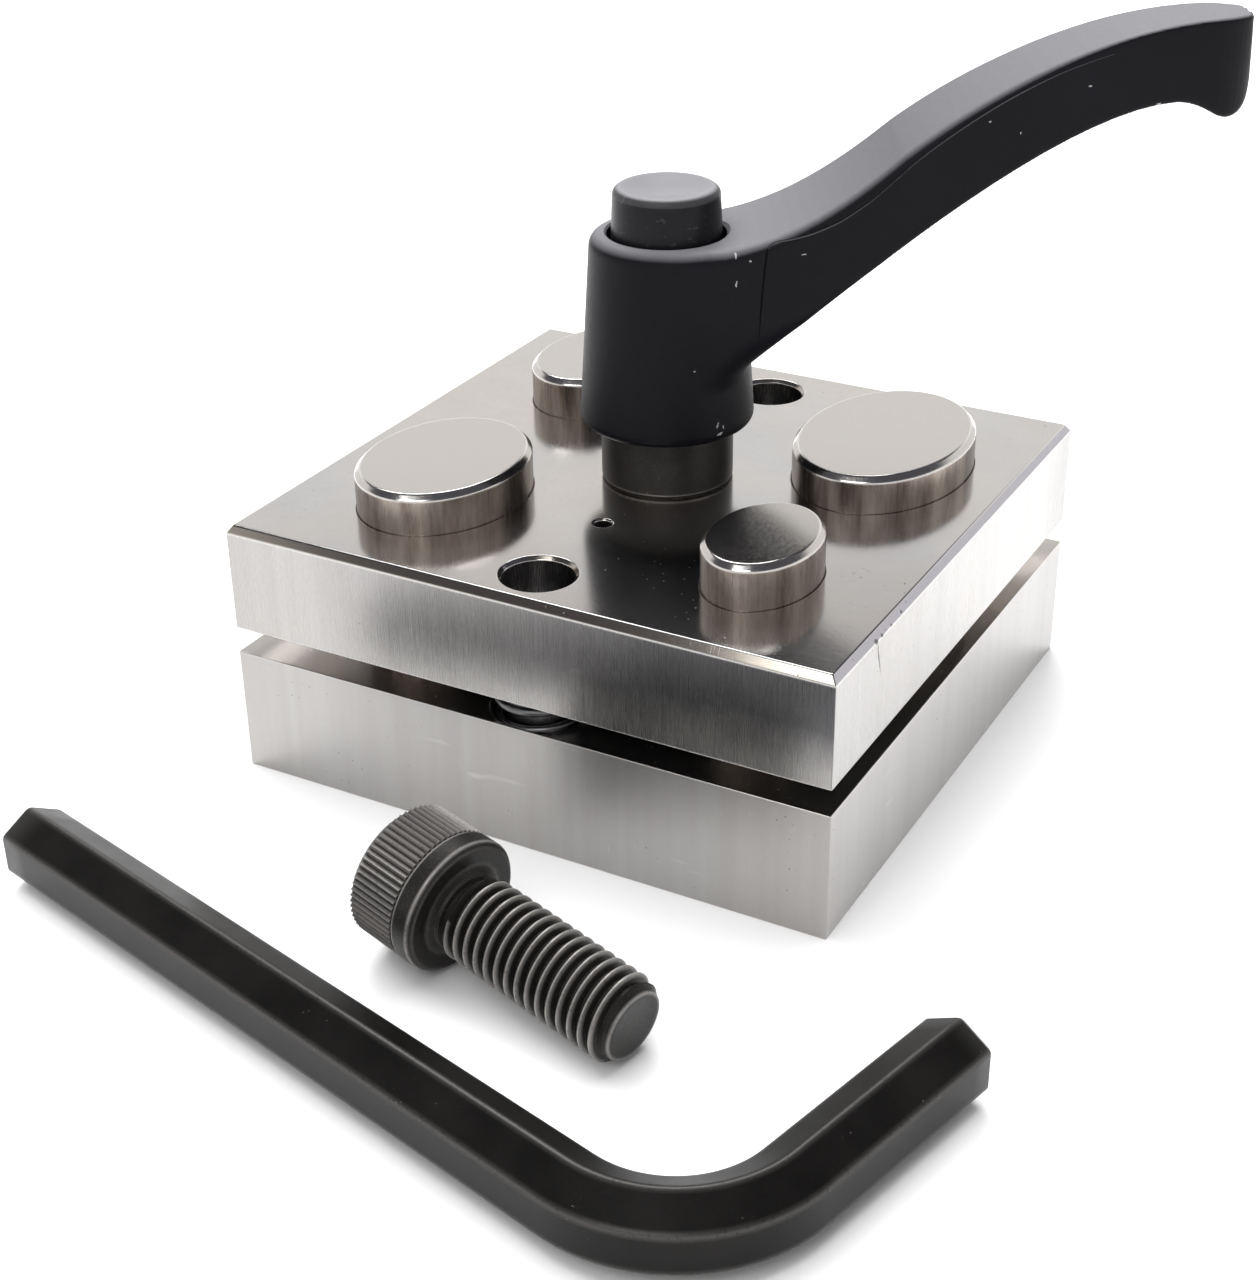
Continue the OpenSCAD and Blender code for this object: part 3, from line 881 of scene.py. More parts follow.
def bars_tree():
    """Upright bars of square section in a ring about Z, each with a corner outwards."""
    tree = group("ring_of_bars", [
        ("Count", "NodeSocketInt", 20), ("Ring Radius", "NodeSocketFloat", 0.007),
        ("Bar Width", "NodeSocketFloat", 0.001), ("Bar Length", "NodeSocketFloat", 0.004),
        ("Middle Height", "NodeSocketFloat", 0.0), ("Material", "NodeSocketMaterial", None)])
    source = add(tree, "NodeGroupInput").outputs
    ring = add(tree, "GeometryNodeMeshCircle", {"Vertices": source["Count"],
                                                "Radius": source["Ring Radius"]})
    lift = add(tree, "ShaderNodeCombineXYZ", {2: source["Middle Height"]})
    raised = add(tree, "GeometryNodeSetPosition", {"Geometry": ring.outputs[0],
                                                   "Offset": lift.outputs[0]})
    size = add(tree, "ShaderNodeCombineXYZ", {0: source["Bar Width"], 1: source["Bar Width"],
                                              2: source["Bar Length"]})
    bar = add(tree, "GeometryNodeMeshCube", {"Size": size.outputs[0]})
    turned = add(tree, "GeometryNodeTransform", {"Geometry": bar.outputs[0],
                                                 "Rotation": (0, 0, math.pi / 4)})
    step = add(tree, "ShaderNodeMath", {0: 2 * math.pi, 1: source["Count"]}, operation="DIVIDE")
    number = add(tree, "GeometryNodeInputIndex")
    angle = add(tree, "ShaderNodeMath", {0: number.outputs[0], 1: step.outputs[0]},
                operation="MULTIPLY")
    turn = add(tree, "ShaderNodeCombineXYZ", {2: angle.outputs[0]})
    bars = add(tree, "GeometryNodeInstanceOnPoints", {
        "Points": raised.outputs[0], "Instance": turned.outputs[0],
        "Rotation": turn.outputs[0]})
    finish_tree(tree, bars.outputs[0], source["Material"])
    return tree


def finish_tree(tree, geometry, material):
    """Ends a geometry tree with real geometry that has its material."""
    real = add(tree, "GeometryNodeRealizeInstances", {"Geometry": geometry})
    coated = add(tree, "GeometryNodeSetMaterial", {"Geometry": real.outputs[0],
                                                   "Material": material})
    add(tree, "NodeGroupOutput", {0: coated.outputs[0]})


def make_spring(node, body, wire, material, turns, tree):
    """Coil spring with closed ends."""
    width, _, height = size_of(node)
    x, y = centre_of(node)
    low = bottom_of(node)
    mesh = grown(node, tree, {
        "Coil Radius": (width / 2 - wire / 2) * MM, "Wire Radius": wire / 2 * MM,
        "Turns": turns, "Height": height * MM, "Closed Turns": 0.75, "Material": material})
    mesh.transform(Matrix.Translation((x * MM, y * MM, low * MM)))
    set_wear(mesh, 0.0)
    tidy_mesh(mesh, 70)
    piece = settle(linked(node + "_wound", mesh), node, body, material)
    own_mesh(piece)
    return piece


# ---------------------------------------------------------------- clamping lever

ARM_REACH = 67.2
ARM_END = 6.2
ARM_TIP_W = 9.4
HUB_TOP = 31.4
HUB_BOTTOM = 7.6
HUB_LOW_R = 10.7
HUB_HIGH_R = 9.35
RIM_R = 1.2
CHAMBER_R = 7.2
WEB_TOP = 16.2
TEETH_TOP = 13.25
COLLAR_TOP = 9.7


def arm_top_curve():
    """Top edge of the arm: reach from the axis, height above the deck."""
    return (bezier((5, 31.2), (14, 32), (21.5, 37.6), (27, 42.2), 14)
            + bezier((27, 42.2), (35.5, 48.6), (49.5, 56.1), (ARM_REACH - 3, 56), 20)[1:])


def arm_end_curve():
    """Side view of the arm's end and underside, from the tip's top back to the hub."""
    tip = ARM_REACH
    return (bezier((tip - 1.6, 55.85), (tip - 1.1, 55.8), (tip - 0.8, 55.6), (tip - 0.7, 55.2), 4)
            + bezier((tip, 48.5), (tip, 46.1), (tip - 1.1, 44.7), (tip - 2.9, 44.65), 8)
            + bezier((tip - 3.1, 44.65), (tip - 4.8, 44.7), (tip - 5.9, 46.5), (tip - 9, 46.75), 8)
            + bezier((tip - 9.3, 46.75), (43.8, 46.4), (18, 25), (8.5, 15.6), 20)
            + [(5, 12.6)])


def arm_plan_half():
    """One edge of the arm seen from above, from inside the hub to the rounded tip."""
    end = ARM_REACH - ARM_END
    half = ARM_TIP_W / 2
    return ([(-12, 4), (-6, 8), (0, 8.9)]
            + bezier((6, 9), (26, 9.3), (44, half + 1.7), (end, half), 20)
            + bezier((end + ARM_END / 4, half * 0.95), (end + ARM_END * 0.65, half * 0.82),
                     (ARM_REACH, half * 0.44), (ARM_REACH, 0), 9))


def arm_half_width(reach):
    """Half of the arm's width at any reach; works on arrays."""
    along, half = zip(*arm_plan_half()[:-1])
    return np.interp(reach, along, half)


def distance_to(outline, points):
    """Signed distance of points to a closed outline, negative inside."""
    a = np.array(outline)
    b = np.roll(a, -1, axis=0)
    nearest = np.full(len(points), 1e9)
    inside = np.zeros(len(points), bool)
    for (ax, ay), (bx, by) in zip(a, b):
        px = points[:, 0] - ax
        py = points[:, 1] - ay
        ex = bx - ax
        ey = by - ay
        share = np.clip((px * ex + py * ey) / (ex * ex + ey * ey), 0, 1)
        nearest = np.minimum(nearest, (px - share * ex) ** 2 + (py - share * ey) ** 2)
        crosses = (ay > points[:, 1]) != (by > points[:, 1])
        if ay != by:
            inside ^= crosses & (px < ex * py / ey)
    return np.where(inside, -1, 1) * np.sqrt(nearest)


def in_arm_frame(points):
    """Reach along the arm, distance across it and height above the deck."""
    c, s = math.cos(ARM_ANGLE), math.sin(ARM_ANGLE)
    return (points[:, 0] * c + points[:, 1] * s, points[:, 1] * c - points[:, 0] * s,
            points[:, 2] - DECK)


def from_arm_frame(reach, across, height):
    """Point at a reach along the arm, a distance across it and a height above the deck."""
    c, s = math.cos(ARM_ANGLE), math.sin(ARM_ANGLE)
    return (reach * c - across * s, reach * s + across * c, height + DECK)


def meet(a, b, radius):
    """Distance to what two shapes share, with their common edge rounded."""
    a = a + radius
    b = b + radius
    return np.minimum(np.maximum(a, b), 0) + np.hypot(np.maximum(a, 0), np.maximum(b, 0)) - radius


def blend_of(a, b, width):
    """Distance to two shapes together, with a soft fillet between them."""
    share = np.clip(0.5 + 0.5 * (b - a) / width, 0, 1)
    return b + (a - b) * share - width * share * (1 - share)


def top_distance(reach, height):
    """Distance above the lever's top: flat over the hub, then along the arm's top edge."""
    along, level = zip(*arm_top_curve())
    lift = np.maximum(np.interp(reach, along, level), HUB_TOP)
    slope = np.maximum(np.interp(reach + 0.4, along, level), HUB_TOP)
    slope = (slope - np.maximum(np.interp(reach - 0.4, along, level), HUB_TOP)) / 0.8
    return (height - lift) / np.hypot(1, slope)


def side_distance(points, edge, blend):
    """Distance to the arm and hub from the side, as if both had no top."""
    reach, across, height = in_arm_frame(points)
    half = arm_plan_half()
    plan = half + [(r, -w) for r, w in reversed(half[:-1])]
    flank = distance_to(plan, np.column_stack([reach, across]))
    shaft = [(0, 90), (ARM_REACH - 0.75, 90)] + arm_end_curve()[4:] + [(0, 9)]
    under = distance_to(shaft, np.column_stack([reach, height]))
    low_edge = np.interp(reach, [9, 16, 24, ARM_REACH - 6, ARM_REACH],
                         [3.5, 1.2, edge + 0.1, edge + 0.1, edge + 0.2])
    arm = meet(flank, under, low_edge)
    taper = (HUB_LOW_R - HUB_HIGH_R) / (HUB_TOP - 3 - HUB_BOTTOM)
    hub = (np.hypot(points[:, 0], points[:, 1])
           - HUB_LOW_R + np.maximum(height - HUB_BOTTOM - RIM_R, 0) * taper)
    return blend_of(arm, hub, np.interp(height, [11, 17, 23], [0.5, 1.6, blend]))


def lever_distance(points, edge, blend):
    """Signed distance to the lever's outside."""
    reach, _, height = in_arm_frame(points)
    side = side_distance(points, edge, blend)
    top_edge = np.interp(reach, [5, 12, 40, 52, ARM_REACH], [1.6, 1.3, 1.1, edge + 0.1, edge])
    body = meet(side, top_distance(reach, height), top_edge)
    return meet(body, HUB_BOTTOM - height, RIM_R)


def rough_lever():
    """Arm and hub, overlapping: the start of the lever's mesh."""
    shell = Shell()
    under_curve = arm_end_curve()
    along, level = zip(*(arm_top_curve() + under_curve[:5]))
    below, floor = zip(*reversed(under_curve[5:]))
    rings = []
    shaft = np.linspace(5, ARM_REACH - 2, 90)
    tip = np.linspace(ARM_REACH - 1.6, ARM_REACH - 0.2, 5)
    for reach in [*shaft, *tip]:
        half = max(float(arm_half_width(reach)), 0.5)
        high = float(np.interp(reach, along, level))
        low = float(np.interp(reach, below, floor))
        corners = ((-half, low), (half, low), (half, high), (-half, high))
        rings.append(shell.loop([from_arm_frame(reach, *corner) for corner in corners], [0] * 4))
    shell.stack(rings)
    shell.fill([rings[0]])
    shell.fill([rings[-1]])
    rows = [(0, HUB_BOTTOM), (HUB_LOW_R, HUB_BOTTOM), (HUB_HIGH_R, HUB_TOP), (0, HUB_TOP)]
    shell.turned([(r, z + DECK, 0) for r, z in rows], HOLE_STEPS)
    return mesh_of("lever_rough", shell)


def remeshed(mesh, size):
    """Even quads over the outside of overlapping solids."""
    holder = linked("lever_remesh", mesh)
    modifier = holder.modifiers.new("Remesh", "REMESH")
    modifier.mode = "VOXEL"
    modifier.voxel_size = size
    return applied(holder)


def drawn_onto(mesh, distance, rounds=7):
    """Moves a mesh's points onto the surface where the distance is nought."""
    points = np.array([v.co for v in mesh.vertices]) / MM
    probe = 0.02
    for _ in range(rounds):
        here = distance(points)
        slope = np.empty_like(points)
        for axis in range(3):
            moved = points.copy()
            moved[:, axis] += probe
            slope[:, axis] = (distance(moved) - here) / probe
        slope /= np.linalg.norm(slope, axis=1)[:, None] + 1e-9
        points -= np.clip(here, -0.4, 0.4)[:, None] * slope
    mesh.vertices.foreach_set("co", (points * MM).astype(np.float32).ravel())
    mesh.update()
    return points


def tooth_outline(tip, root, count, steps):
    """Star outline of the locking teeth, as steps points turned to the arm's direction."""
    points = []
    for i in range(steps):
        share = abs((i * count / steps) % 1 - 0.5) * 2
        r = root + (tip - root) * min(max(share * 1.5 - 0.25, 0), 1)
        a = 2 * math.pi * i / steps + ARM_ANGLE
        points.append((r * math.cos(a), r * math.sin(a)))
    return points


def hub_cutter(teeth):
    """Inside of the hub: collar bore, locking teeth, neck hole and spring chamber."""
    shell = Shell()
    steps = teeth * 8
    star = tooth_outline(7.38, 6.58, teeth, steps)
    bore, neck, top = 8.25, 4.75, HUB_TOP
    rings = [
        shell.ring(circle(bore + 0.35, steps), DECK + HUB_BOTTOM - 0.2),
        shell.ring(circle(bore, steps), DECK + HUB_BOTTOM + 0.2),
        shell.ring(circle(bore, steps), DECK + COLLAR_TOP),
        shell.ring(star, DECK + COLLAR_TOP),
        shell.ring(star, DECK + TEETH_TOP),
        shell.ring(circle(neck, steps), DECK + TEETH_TOP),
        shell.ring(circle(neck, steps), DECK + WEB_TOP),
        shell.ring(circle(CHAMBER_R, steps), DECK + WEB_TOP),
        shell.ring(circle(CHAMBER_R, steps), DECK + top - 0.25),
        shell.ring(circle(CHAMBER_R + 0.4, steps), DECK + top + 0.15),
        shell.ring(circle(CHAMBER_R + 0.4, steps), DECK + top + 1.5)]
    shell.stack(rings)
    shell.fill([rings[0]])
    shell.fill([rings[-1]])
    return shell


# Parting line along the arm: reach, and distance below the arm's top edge
PARTING_DROP = ((13.4, 0.56), (16.4, 1.12), (19.5, 1.52), (22.9, 1.54), (26.2, 1.25),
                (30.6, 1.10), (38.0, 0.93), (44.0, 0.94), (50.0, 1.20))


def parting_line():
    """Parting line on the arm's flank: up from the hub's side and along the top edge."""
    along, level = zip(*arm_top_curve())
    reaches, drops = zip(*PARTING_DROP)
    line = []
    for reach in np.linspace(reaches[0], reaches[-1], 60):
        slope = float(np.interp(reach + 0.5, along, level) - np.interp(reach - 0.5, along, level))
        drop = float(np.interp(reach, reaches, drops)) * math.hypot(1, slope)
        line.append((reach, float(np.interp(reach, along, level)) - drop))
    rising = bezier((10.48, 21.0), (10.6, 24), (10.85, 28), (11.2, 31.3), 12)
    turn = bezier(rising[-1], (11.3, 32.2), (11.9, line[0][1] - 0.15), line[0], 6)[1:-1]
    return rising + turn + line


def on_flank(reach, height, sign, distance):
    """Point of the lever's surface at a reach and a height, on one flank."""
    across = float(arm_half_width(reach))
    for _ in range(8):
        point = from_arm_frame(reach, sign * across, height)
        across -= 0.9 * float(distance(np.array([point]))[0])
    return Vector(from_arm_frame(reach, sign * across, height))


def add_groove(shell, sign, size, distance):
    """Adds a thin four-sided rod along the parting line, half sunk in the flank."""
    path = parting_line()
    outwards = Vector((-math.sin(ARM_ANGLE), math.cos(ARM_ANGLE), 0)) * sign
    forwards = Vector((math.cos(ARM_ANGLE), math.sin(ARM_ANGLE), 0))
    rings = []
    for i, (reach, height) in enumerate(path):
        ahead = Vector(path[min(i + 1, len(path) - 1)]) - Vector(path[max(i - 1, 0)])
        ahead.normalize()
        aside = Vector((0, 0, ahead.x)) - forwards * ahead.y
        half = size * min(1, 0.3 + i / 6, 0.2 + (len(path) - i) / 25)
        middle = on_flank(reach, height, sign, distance)
        ring = [middle - aside * half, middle + outwards * 2 * half,
                middle + aside * half, middle - outwards * half]
        rings.append(shell.loop(ring, [0] * 4))
    shell.stack(rings)
    shell.fill([rings[0]])
    shell.fill([rings[-1]])


def cut(mesh, cutter, name):
    """Takes the cutter's solids away from the mesh."""
    holder = linked(name + "_cut", mesh)
    tool = linked(name + "_tool", cutter)
    modifier = holder.modifiers.new("Cut", "BOOLEAN")
    modifier.operation = "DIFFERENCE"
    modifier.solver = "MANIFOLD"
    modifier.object = tool
    result = applied(holder)
    bpy.data.objects.remove(tool)
    if len(result.polygons) < 100:
        raise RuntimeError(f"the cut left too little of {name}")
    return result


# Knocks on the near flank: reach, height above the deck, length, width and lean in degrees
KNOCKS = ((7.65, 31.0, 0.9, 0.25, 85), (7.75, 27.7, 0.8, 0.2, 88), (9.3, 30.4, 0.35, 0.3, 0),
          (15.5, 31.1, 0.7, 0.22, 8), (36.2, 45.7, 0.35, 0.25, 40), (39.9, 44.2, 0.3, 0.25, 60),
          (47.5, 49.2, 0.45, 0.22, 20), (55.7, 46.8, 0.6, 0.25, 5), (6.0, 8.9, 0.9, 0.35, 20),
          (5.7, 10.0, 0.9, 0.22, 75),
          (6.4, 9.6, 0.6, 0.2, 110),
          (2.9, 17.3, 0.25, 0.2, 0))


def knocks(distance):
    """Place, turn and size in metres of each knock, for the coat's material."""
    marks = []
    for reach, height, length, width, lean in KNOCKS:
        turn = (Matrix.Rotation(ARM_ANGLE, 3, "Z")
                @ Matrix.Rotation(math.radians(-lean), 3, "Y")).to_euler()
        marks.append((on_flank(reach, height, -1, distance) * MM, turn,
                      Vector((length, 1.5, width)) * MM / 2))
    return marks


def make_lever(lever, teeth, colour):
    """Lever handle: cast arm and hub in one skin, cut out inside, with its parting line."""
    edge, blend = lever.edge_radius / MM, lever.blend_radius / MM

    def distance(points):
        return lever_distance(points, edge, blend)

    mesh = remeshed(rough_lever(), lever.voxel)
    points = drawn_onto(mesh, distance)
    reach, _, height = in_arm_frame(points)
    depth = np.maximum(-side_distance(points, edge, blend), -top_distance(reach, height))
    worn_depth = 1.2
    set_wear(mesh, np.clip(1 - depth / worn_depth, 0, 1))
    cutter = hub_cutter(teeth)
    for sign in (-1, 1):
        add_groove(cutter, sign, lever.groove_depth / MM, distance)
    mesh = cut(mesh, mesh_of("lever_cutter", cutter), "lever")
    for polygon in mesh.polygons:
        polygon.use_smooth = True
    mesh.set_sharp_from_angle(angle=math.radians(32))
    piece = linked("lever_handle_cast", mesh)
    return settle(piece, "lever_handle", "handle",
                  powder_coat("black_powder_coat", colour, knocks(distance)))


def make_insert(fasteners, material, tree):
    """Toothed insert: collar, locking teeth and the neck that guides the lever."""
    shell = Shell()
    collar_r, edge, collar_top = 8.2, 0.4, 9.6
    body_r, teeth_top, neck_r, neck_top = 6.55, 13.2, 4.7, 27.0
    bore_r, bore_top, tap_r, tap_low = 5.02, 9.0, 3.05, 15.5
    profile = [(bore_r, bore_top), (bore_r, 0), (collar_r - edge, 0), (collar_r, edge),
               (collar_r, collar_top), (body_r, collar_top), (body_r, teeth_top),
               (neck_r, teeth_top), (neck_r, neck_top), (tap_r, neck_top), (tap_r, tap_low),
               (0, tap_low)]
    rows = eased(profile, 0.12)
    rows = [(0, bore_top, 0), (bore_r, bore_top, 0)] + rows + [(0, tap_low, 0)]
    shell.turned([(r, z + DECK, w) for r, z, w in rows], HOLE_STEPS)
    mesh = mesh_of("toothed_insert_turned", shell)
    tip = 7.3
    bar = 1.5
    bars = grown("insert_teeth", tree, {
        "Count": fasteners.teeth, "Ring Radius": (tip - bar / math.sqrt(2)) * MM,
        "Bar Width": bar * MM, "Bar Length": (teeth_top - collar_top + 0.5) * MM,
        "Middle Height": (DECK + (teeth_top + collar_top - 0.5) / 2 - 0.05) * MM,
        "Material": material})
    bars.transform(Matrix.Rotation(ARM_ANGLE, 4, "Z"))
    set_wear(bars, 0.6)
    piece = linked("toothed_insert_turned", joined(mesh, bars))
    return settle(piece, "toothed_insert", "clamp_screw", material)


def make_stud(fasteners, material):
    """Threaded stud with chamfered ends."""
    low, high = bottom_of("clamp_stud"), top_of("clamp_stud")
    shell = Shell()
    steps, ends = 72, 0.3
    root = thread(shell, 5.0, fasteners.pitch / MM, low + ends, high - ends, steps, 1.0, 1.0)
    shell.turned([(0, low, 0), (root - 0.5, low, 0), (root - 0.1, low + 0.08, 0.6),
                  (root, low + ends, 0)], steps)
    shell.turned([(root, high - ends, 0), (root - 0.1, high - 0.08, 0.6),
                  (root - 0.5, high, 0), (0, high, 0)], steps)
    piece = linked("clamp_stud_threaded", mesh_of("clamp_stud_threaded", shell))
    return settle(piece, "clamp_stud", "clamp_screw", material)


def make_retaining_screw(material):
    """Low-headed screw that holds the washer, with a hexagon socket."""
    low, high = bottom_of("retaining_screw"), top_of("retaining_screw")
    steps = 72
    head_low, socket_floor = high - 3, high - 1.8
    head_r, flats = 5.0, 5.0
    shell = Shell()
    root = thread(shell, 3.0, 1.0, low + 0.3, head_low - 0.6, steps, 0.8, 0.5)
    shell.turned([(0, low, 0), (root - 0.3, low, 0.4), (root, low + 0.3, 0)], steps)
    head = eased([(0, head_low), (head_r, head_low), (head_r, high), (0, high)], 0.3)
    rings = [shell.ring(circle(r, steps), z, w) for r, z, w in
             [(root, head_low - 0.6, 0), (root + 0.2, head_low, 0)] + head]
    rings.append(shell.ring(circle(flats / math.sqrt(3) + 0.2, steps), high, 0.3))
    rings.append(shell.ring(hexagon(flats, steps), high - 0.2, 0.6))
    rings.append(shell.ring(hexagon(flats, steps), socket_floor))
    rings.append(shell.ring(circle(0, steps), socket_floor - 0.3))
    shell.stack(rings)
    piece = linked("retaining_screw_turned", mesh_of("retaining_screw_turned", shell))
    return settle(piece, "retaining_screw", "clamp_screw", material)


def make_washer(material):
    """Flat washer with broken edges."""
    low, high = bottom_of("spring_washer"), top_of("spring_washer")
    outer = size_of("spring_washer")[0] / 2
    inner = 3.2
    corners = [(inner, low), (outer, low), (outer, high), (inner, high)]
    rows = eased(corners[-1:] + corners + corners[:2], 0.12)
    shell = Shell()
    rings = [shell.ring(circle(r, HOLE_STEPS), z, w) for r, z, w in rows]
    shell.stack(rings)
    piece = linked("spring_washer_turned", mesh_of("spring_washer_turned", shell))
    return settle(piece, "spring_washer", "clamp_screw", material)


def make_button(material):
    """Release button: tapered side, rounded rim and a dished top."""
    low, high = bottom_of("release_button"), top_of("release_button")
    foot_r, top_r, rim, dish = 6.8, 6.45, 0.9, 0.8
    inner_r, inner_h = 5.0, 3.0
    flat = top_r - rim
    side = eased([(inner_r, low), (foot_r, low), (top_r, high - rim)], 0.25)
    rounding = bezier((top_r, high - rim), (top_r, high - rim / 2), (top_r - rim / 2, high),
                      (flat, high), 8)
    hollow = bezier((flat - 0.15, high - 0.01), (flat * 0.6, high - dish * 0.6),
                    (flat * 0.3, high - dish), (0, high - dish), 14)
    rows = [(0, low + inner_h, 0), (inner_r, low + inner_h, 0), (inner_r, low, 0)] + side
    rows += [(r, z, 0.7 if 0 < i < 8 else 0.0) for i, (r, z) in enumerate(rounding)]
    rows += [(r, z, 0.0) for r, z in hollow]
    shell = Shell()
    shell.turned(rows, HOLE_STEPS)
    piece = linked("release_button_moulded", mesh_of("release_button_moulded", shell, sharp=50))
    return settle(piece, "release_button", "clamp_screw", material)


# ---------------------------------------------------------------- loose screw and key


def screw_place():
    """Where the loose cap screw lies: on its head's rim and on its thread's end."""
    dip = math.asin(3 / 25)
    return (Matrix.Translation((7.1 * MM, -61.1 * MM, 8 * math.cos(dip) * MM))
            @ Matrix.Rotation(math.radians(-13), 4, "Z")
            @ Matrix.Rotation(math.radians(90) + dip, 4, "Y"))


def make_cap_screw(fasteners, material, tree):
    """Socket head cap screw: knurled head, hexagon socket and a full thread."""
    steps = 72
    head_r, head_h, length, flats = 8.0, 10.0, 25.0, 8.0
    valley, band = head_r - 0.32, 2.7
    neck_r, neck = 4.55, 1.0
    shell = Shell()
    root = thread(shell, 5.0, fasteners.pitch / MM, neck, length - 0.35, steps, 1.2, 1.1)
    outside = [(0, -head_h), (head_r - 1.1, -head_h), (valley, -head_h + 0.75),
               (valley, -band - 0.35), (head_r - 0.02, -band), (head_r - 0.02, -0.55),
               (head_r - 0.55, 0), (neck_r + 0.9, 0), (neck_r, 0.5), (neck_r, neck - 0.25),
               (root, neck)]
    rows = eased(outside, 0.22) + [(root, neck, 0)]
    socket_floor = 5.0 - head_h
    rings = [shell.ring(circle(0, steps), socket_floor),
             shell.ring(hexagon(flats, steps), socket_floor),
             shell.ring(hexagon(flats, steps), -head_h + 0.3, 0.4),
             shell.ring(circle(flats / math.sqrt(3) + 0.3, steps), -head_h, 0.5)]
    rings += [shell.ring(circle(r, steps), z, w if r > head_r - 0.3 else 0.15 * w)
              for r, z, w in rows]
    shell.stack(rings)
    shell.turned([(root, length - 0.35, 0), (root - 0.12, length - 0.06, 0.8),
                  (root - 0.5, length, 0), (root - 0.9, length - 0.05, 0),
                  (0, length - 0.08, 0)], steps)
    mesh = mesh_of("cap_screw_turned", shell, screw_place(), sharp=45)
    bar = 0.62
    ridges = grown("cap_screw_ridges", tree, {
        "Count": fasteners.ridges, "Ring Radius": (head_r - bar / math.sqrt(2)) * MM,
        "Bar Width": bar * MM, "Bar Length": (head_h - band - 1.15) * MM,
        "Middle Height": -(head_h + band - 0.45) / 2 * MM, "Material": material})
    ridges.transform(screw_place())
    radial_wear(ridges, (head_r - 0.25) * MM)
    piece = linked("cap_screw_turned", joined(mesh, ridges))
    return settle(piece, "cap_screw", "loose_screw", material)


def radial_wear(mesh, start):
    """Wears the points that lie further than start from the loose screw's axis."""
    back = screw_place().inverted()
    set_wear(mesh, [0.75 if (back @ v.co).xy.length > start else 0.0 for v in mesh.vertices])


def key_path():
    """Middle line of the key as (point, direction) in its own plane, long end first."""
    half, long_arm, short_arm, bend = 4.0, 106.4, 45.0, 15.0
    path = [((half - long_arm, 0), (1, 0)), ((half - long_arm + 0.5, 0), (1, 0))]
    for i in range(1, 20):
        path.append(((half - long_arm + (long_arm - half - bend) * i / 20, 0), (1, 0)))
    for i in range(25):
        a = math.radians(90 * i / 24)
        path.append(((-bend + bend * math.sin(a), bend - bend * math.cos(a)),
                     (math.cos(a), math.sin(a))))
    for i in range(1, 11):
        path.append(((0, bend + (short_arm - half - bend - 0.5) * i / 10), (0, 1)))
    path.append(((0, short_arm - half), (0, 1)))
    return path


def key_section(flats, ease, inset):
    """Corners of the key's section, standing on a corner, each rounded; with their wear."""
    corners = [Vector((math.cos(math.radians(30 + 60 * k)), math.sin(math.radians(30 + 60 * k))))
               * (flats / 2 - inset) / math.cos(math.radians(30)) for k in range(6)]
    points, wear = [], []
    for k, corner in enumerate(corners):
        back = (corners[k - 1] - corner).normalized() * ease
        ahead = (corners[(k + 1) % 6] - corner).normalized() * ease
        points += [corner + 2 * back, corner + back, corner + (back + ahead) / 4,
                   corner + ahead, corner + 2 * ahead]
        wear += [0, 0.4, 1, 0.4, 0]
    return points, wear


def make_hex_key(fasteners, material):
    """Hexagon key: one rounded section carried round the bend, ends broken."""
    flats = 8.0
    ease = fasteners.key_ease / MM
    path = key_path()
    shell = Shell()
    rings = []
    for i, (at, ahead) in enumerate(path):
        end = i in (0, len(path) - 1)
        points, wear = key_section(flats, ease, 0.3 if end else 0.0)
        ring = [(at[0] - ahead[1] * p.x, at[1] + ahead[0] * p.x, p.y) for p in points]
        rings.append(shell.loop(ring, [0.8] * len(wear) if end else wear))
    shell.stack(rings)
    shell.fill([rings[0]])
    shell.fill([rings[-1]])
    lift = flats / math.sqrt(3)
    place = (Matrix.Translation((51.7 * MM, -94.2 * MM, lift * MM))
             @ Matrix.Rotation(math.radians(-14.2), 4, "Z"))
    mesh = mesh_of("hex_key_drawn", shell, place, sharp=70)
    return settle(linked("hex_key_drawn", mesh), "hex_key", "loose_key",
                  material)


# ---------------------------------------------------------------- stage


def make_floor(colour):
    """Wide pale floor under the block."""
    mesh = bpy.data.meshes.new("floor")
    half, drop = 6.0, -0.00002
    mesh.from_pydata([(-half, -half, drop), (half, -half, drop), (half, half, drop),
                      (-half, half, drop)], [], [(0, 1, 2, 3)])
    f = Finish("pale_floor")
    f.set(base=f.mix(f.window(f.noise((4, 4, 4), 3), 0.3, 0.7), shade(colour, 0.985), colour),
          roughness=0.7, specular=0.2)
    mesh.materials.append(f.material)
    floor = linked("floor", mesh)
    return floor


def make_lamp(name, at, size, power, aim=(0, 0, 0.02), in_reflections=False):
    """Large soft lamp that looks at the block."""
    lamp = bpy.data.lights.new(name, "AREA")
    lamp.shape = "RECTANGLE"
    lamp.size, lamp.size_y = size
    lamp.energy = power
    holder = bpy.data.objects.new(name, lamp)
    bpy.context.scene.collection.objects.link(holder)
    holder.location = at
    holder.rotation_euler = (Vector(aim) - Vector(at)).to_track_quat("-Z", "Y").to_euler()
    holder.visible_glossy = in_reflections
    return holder


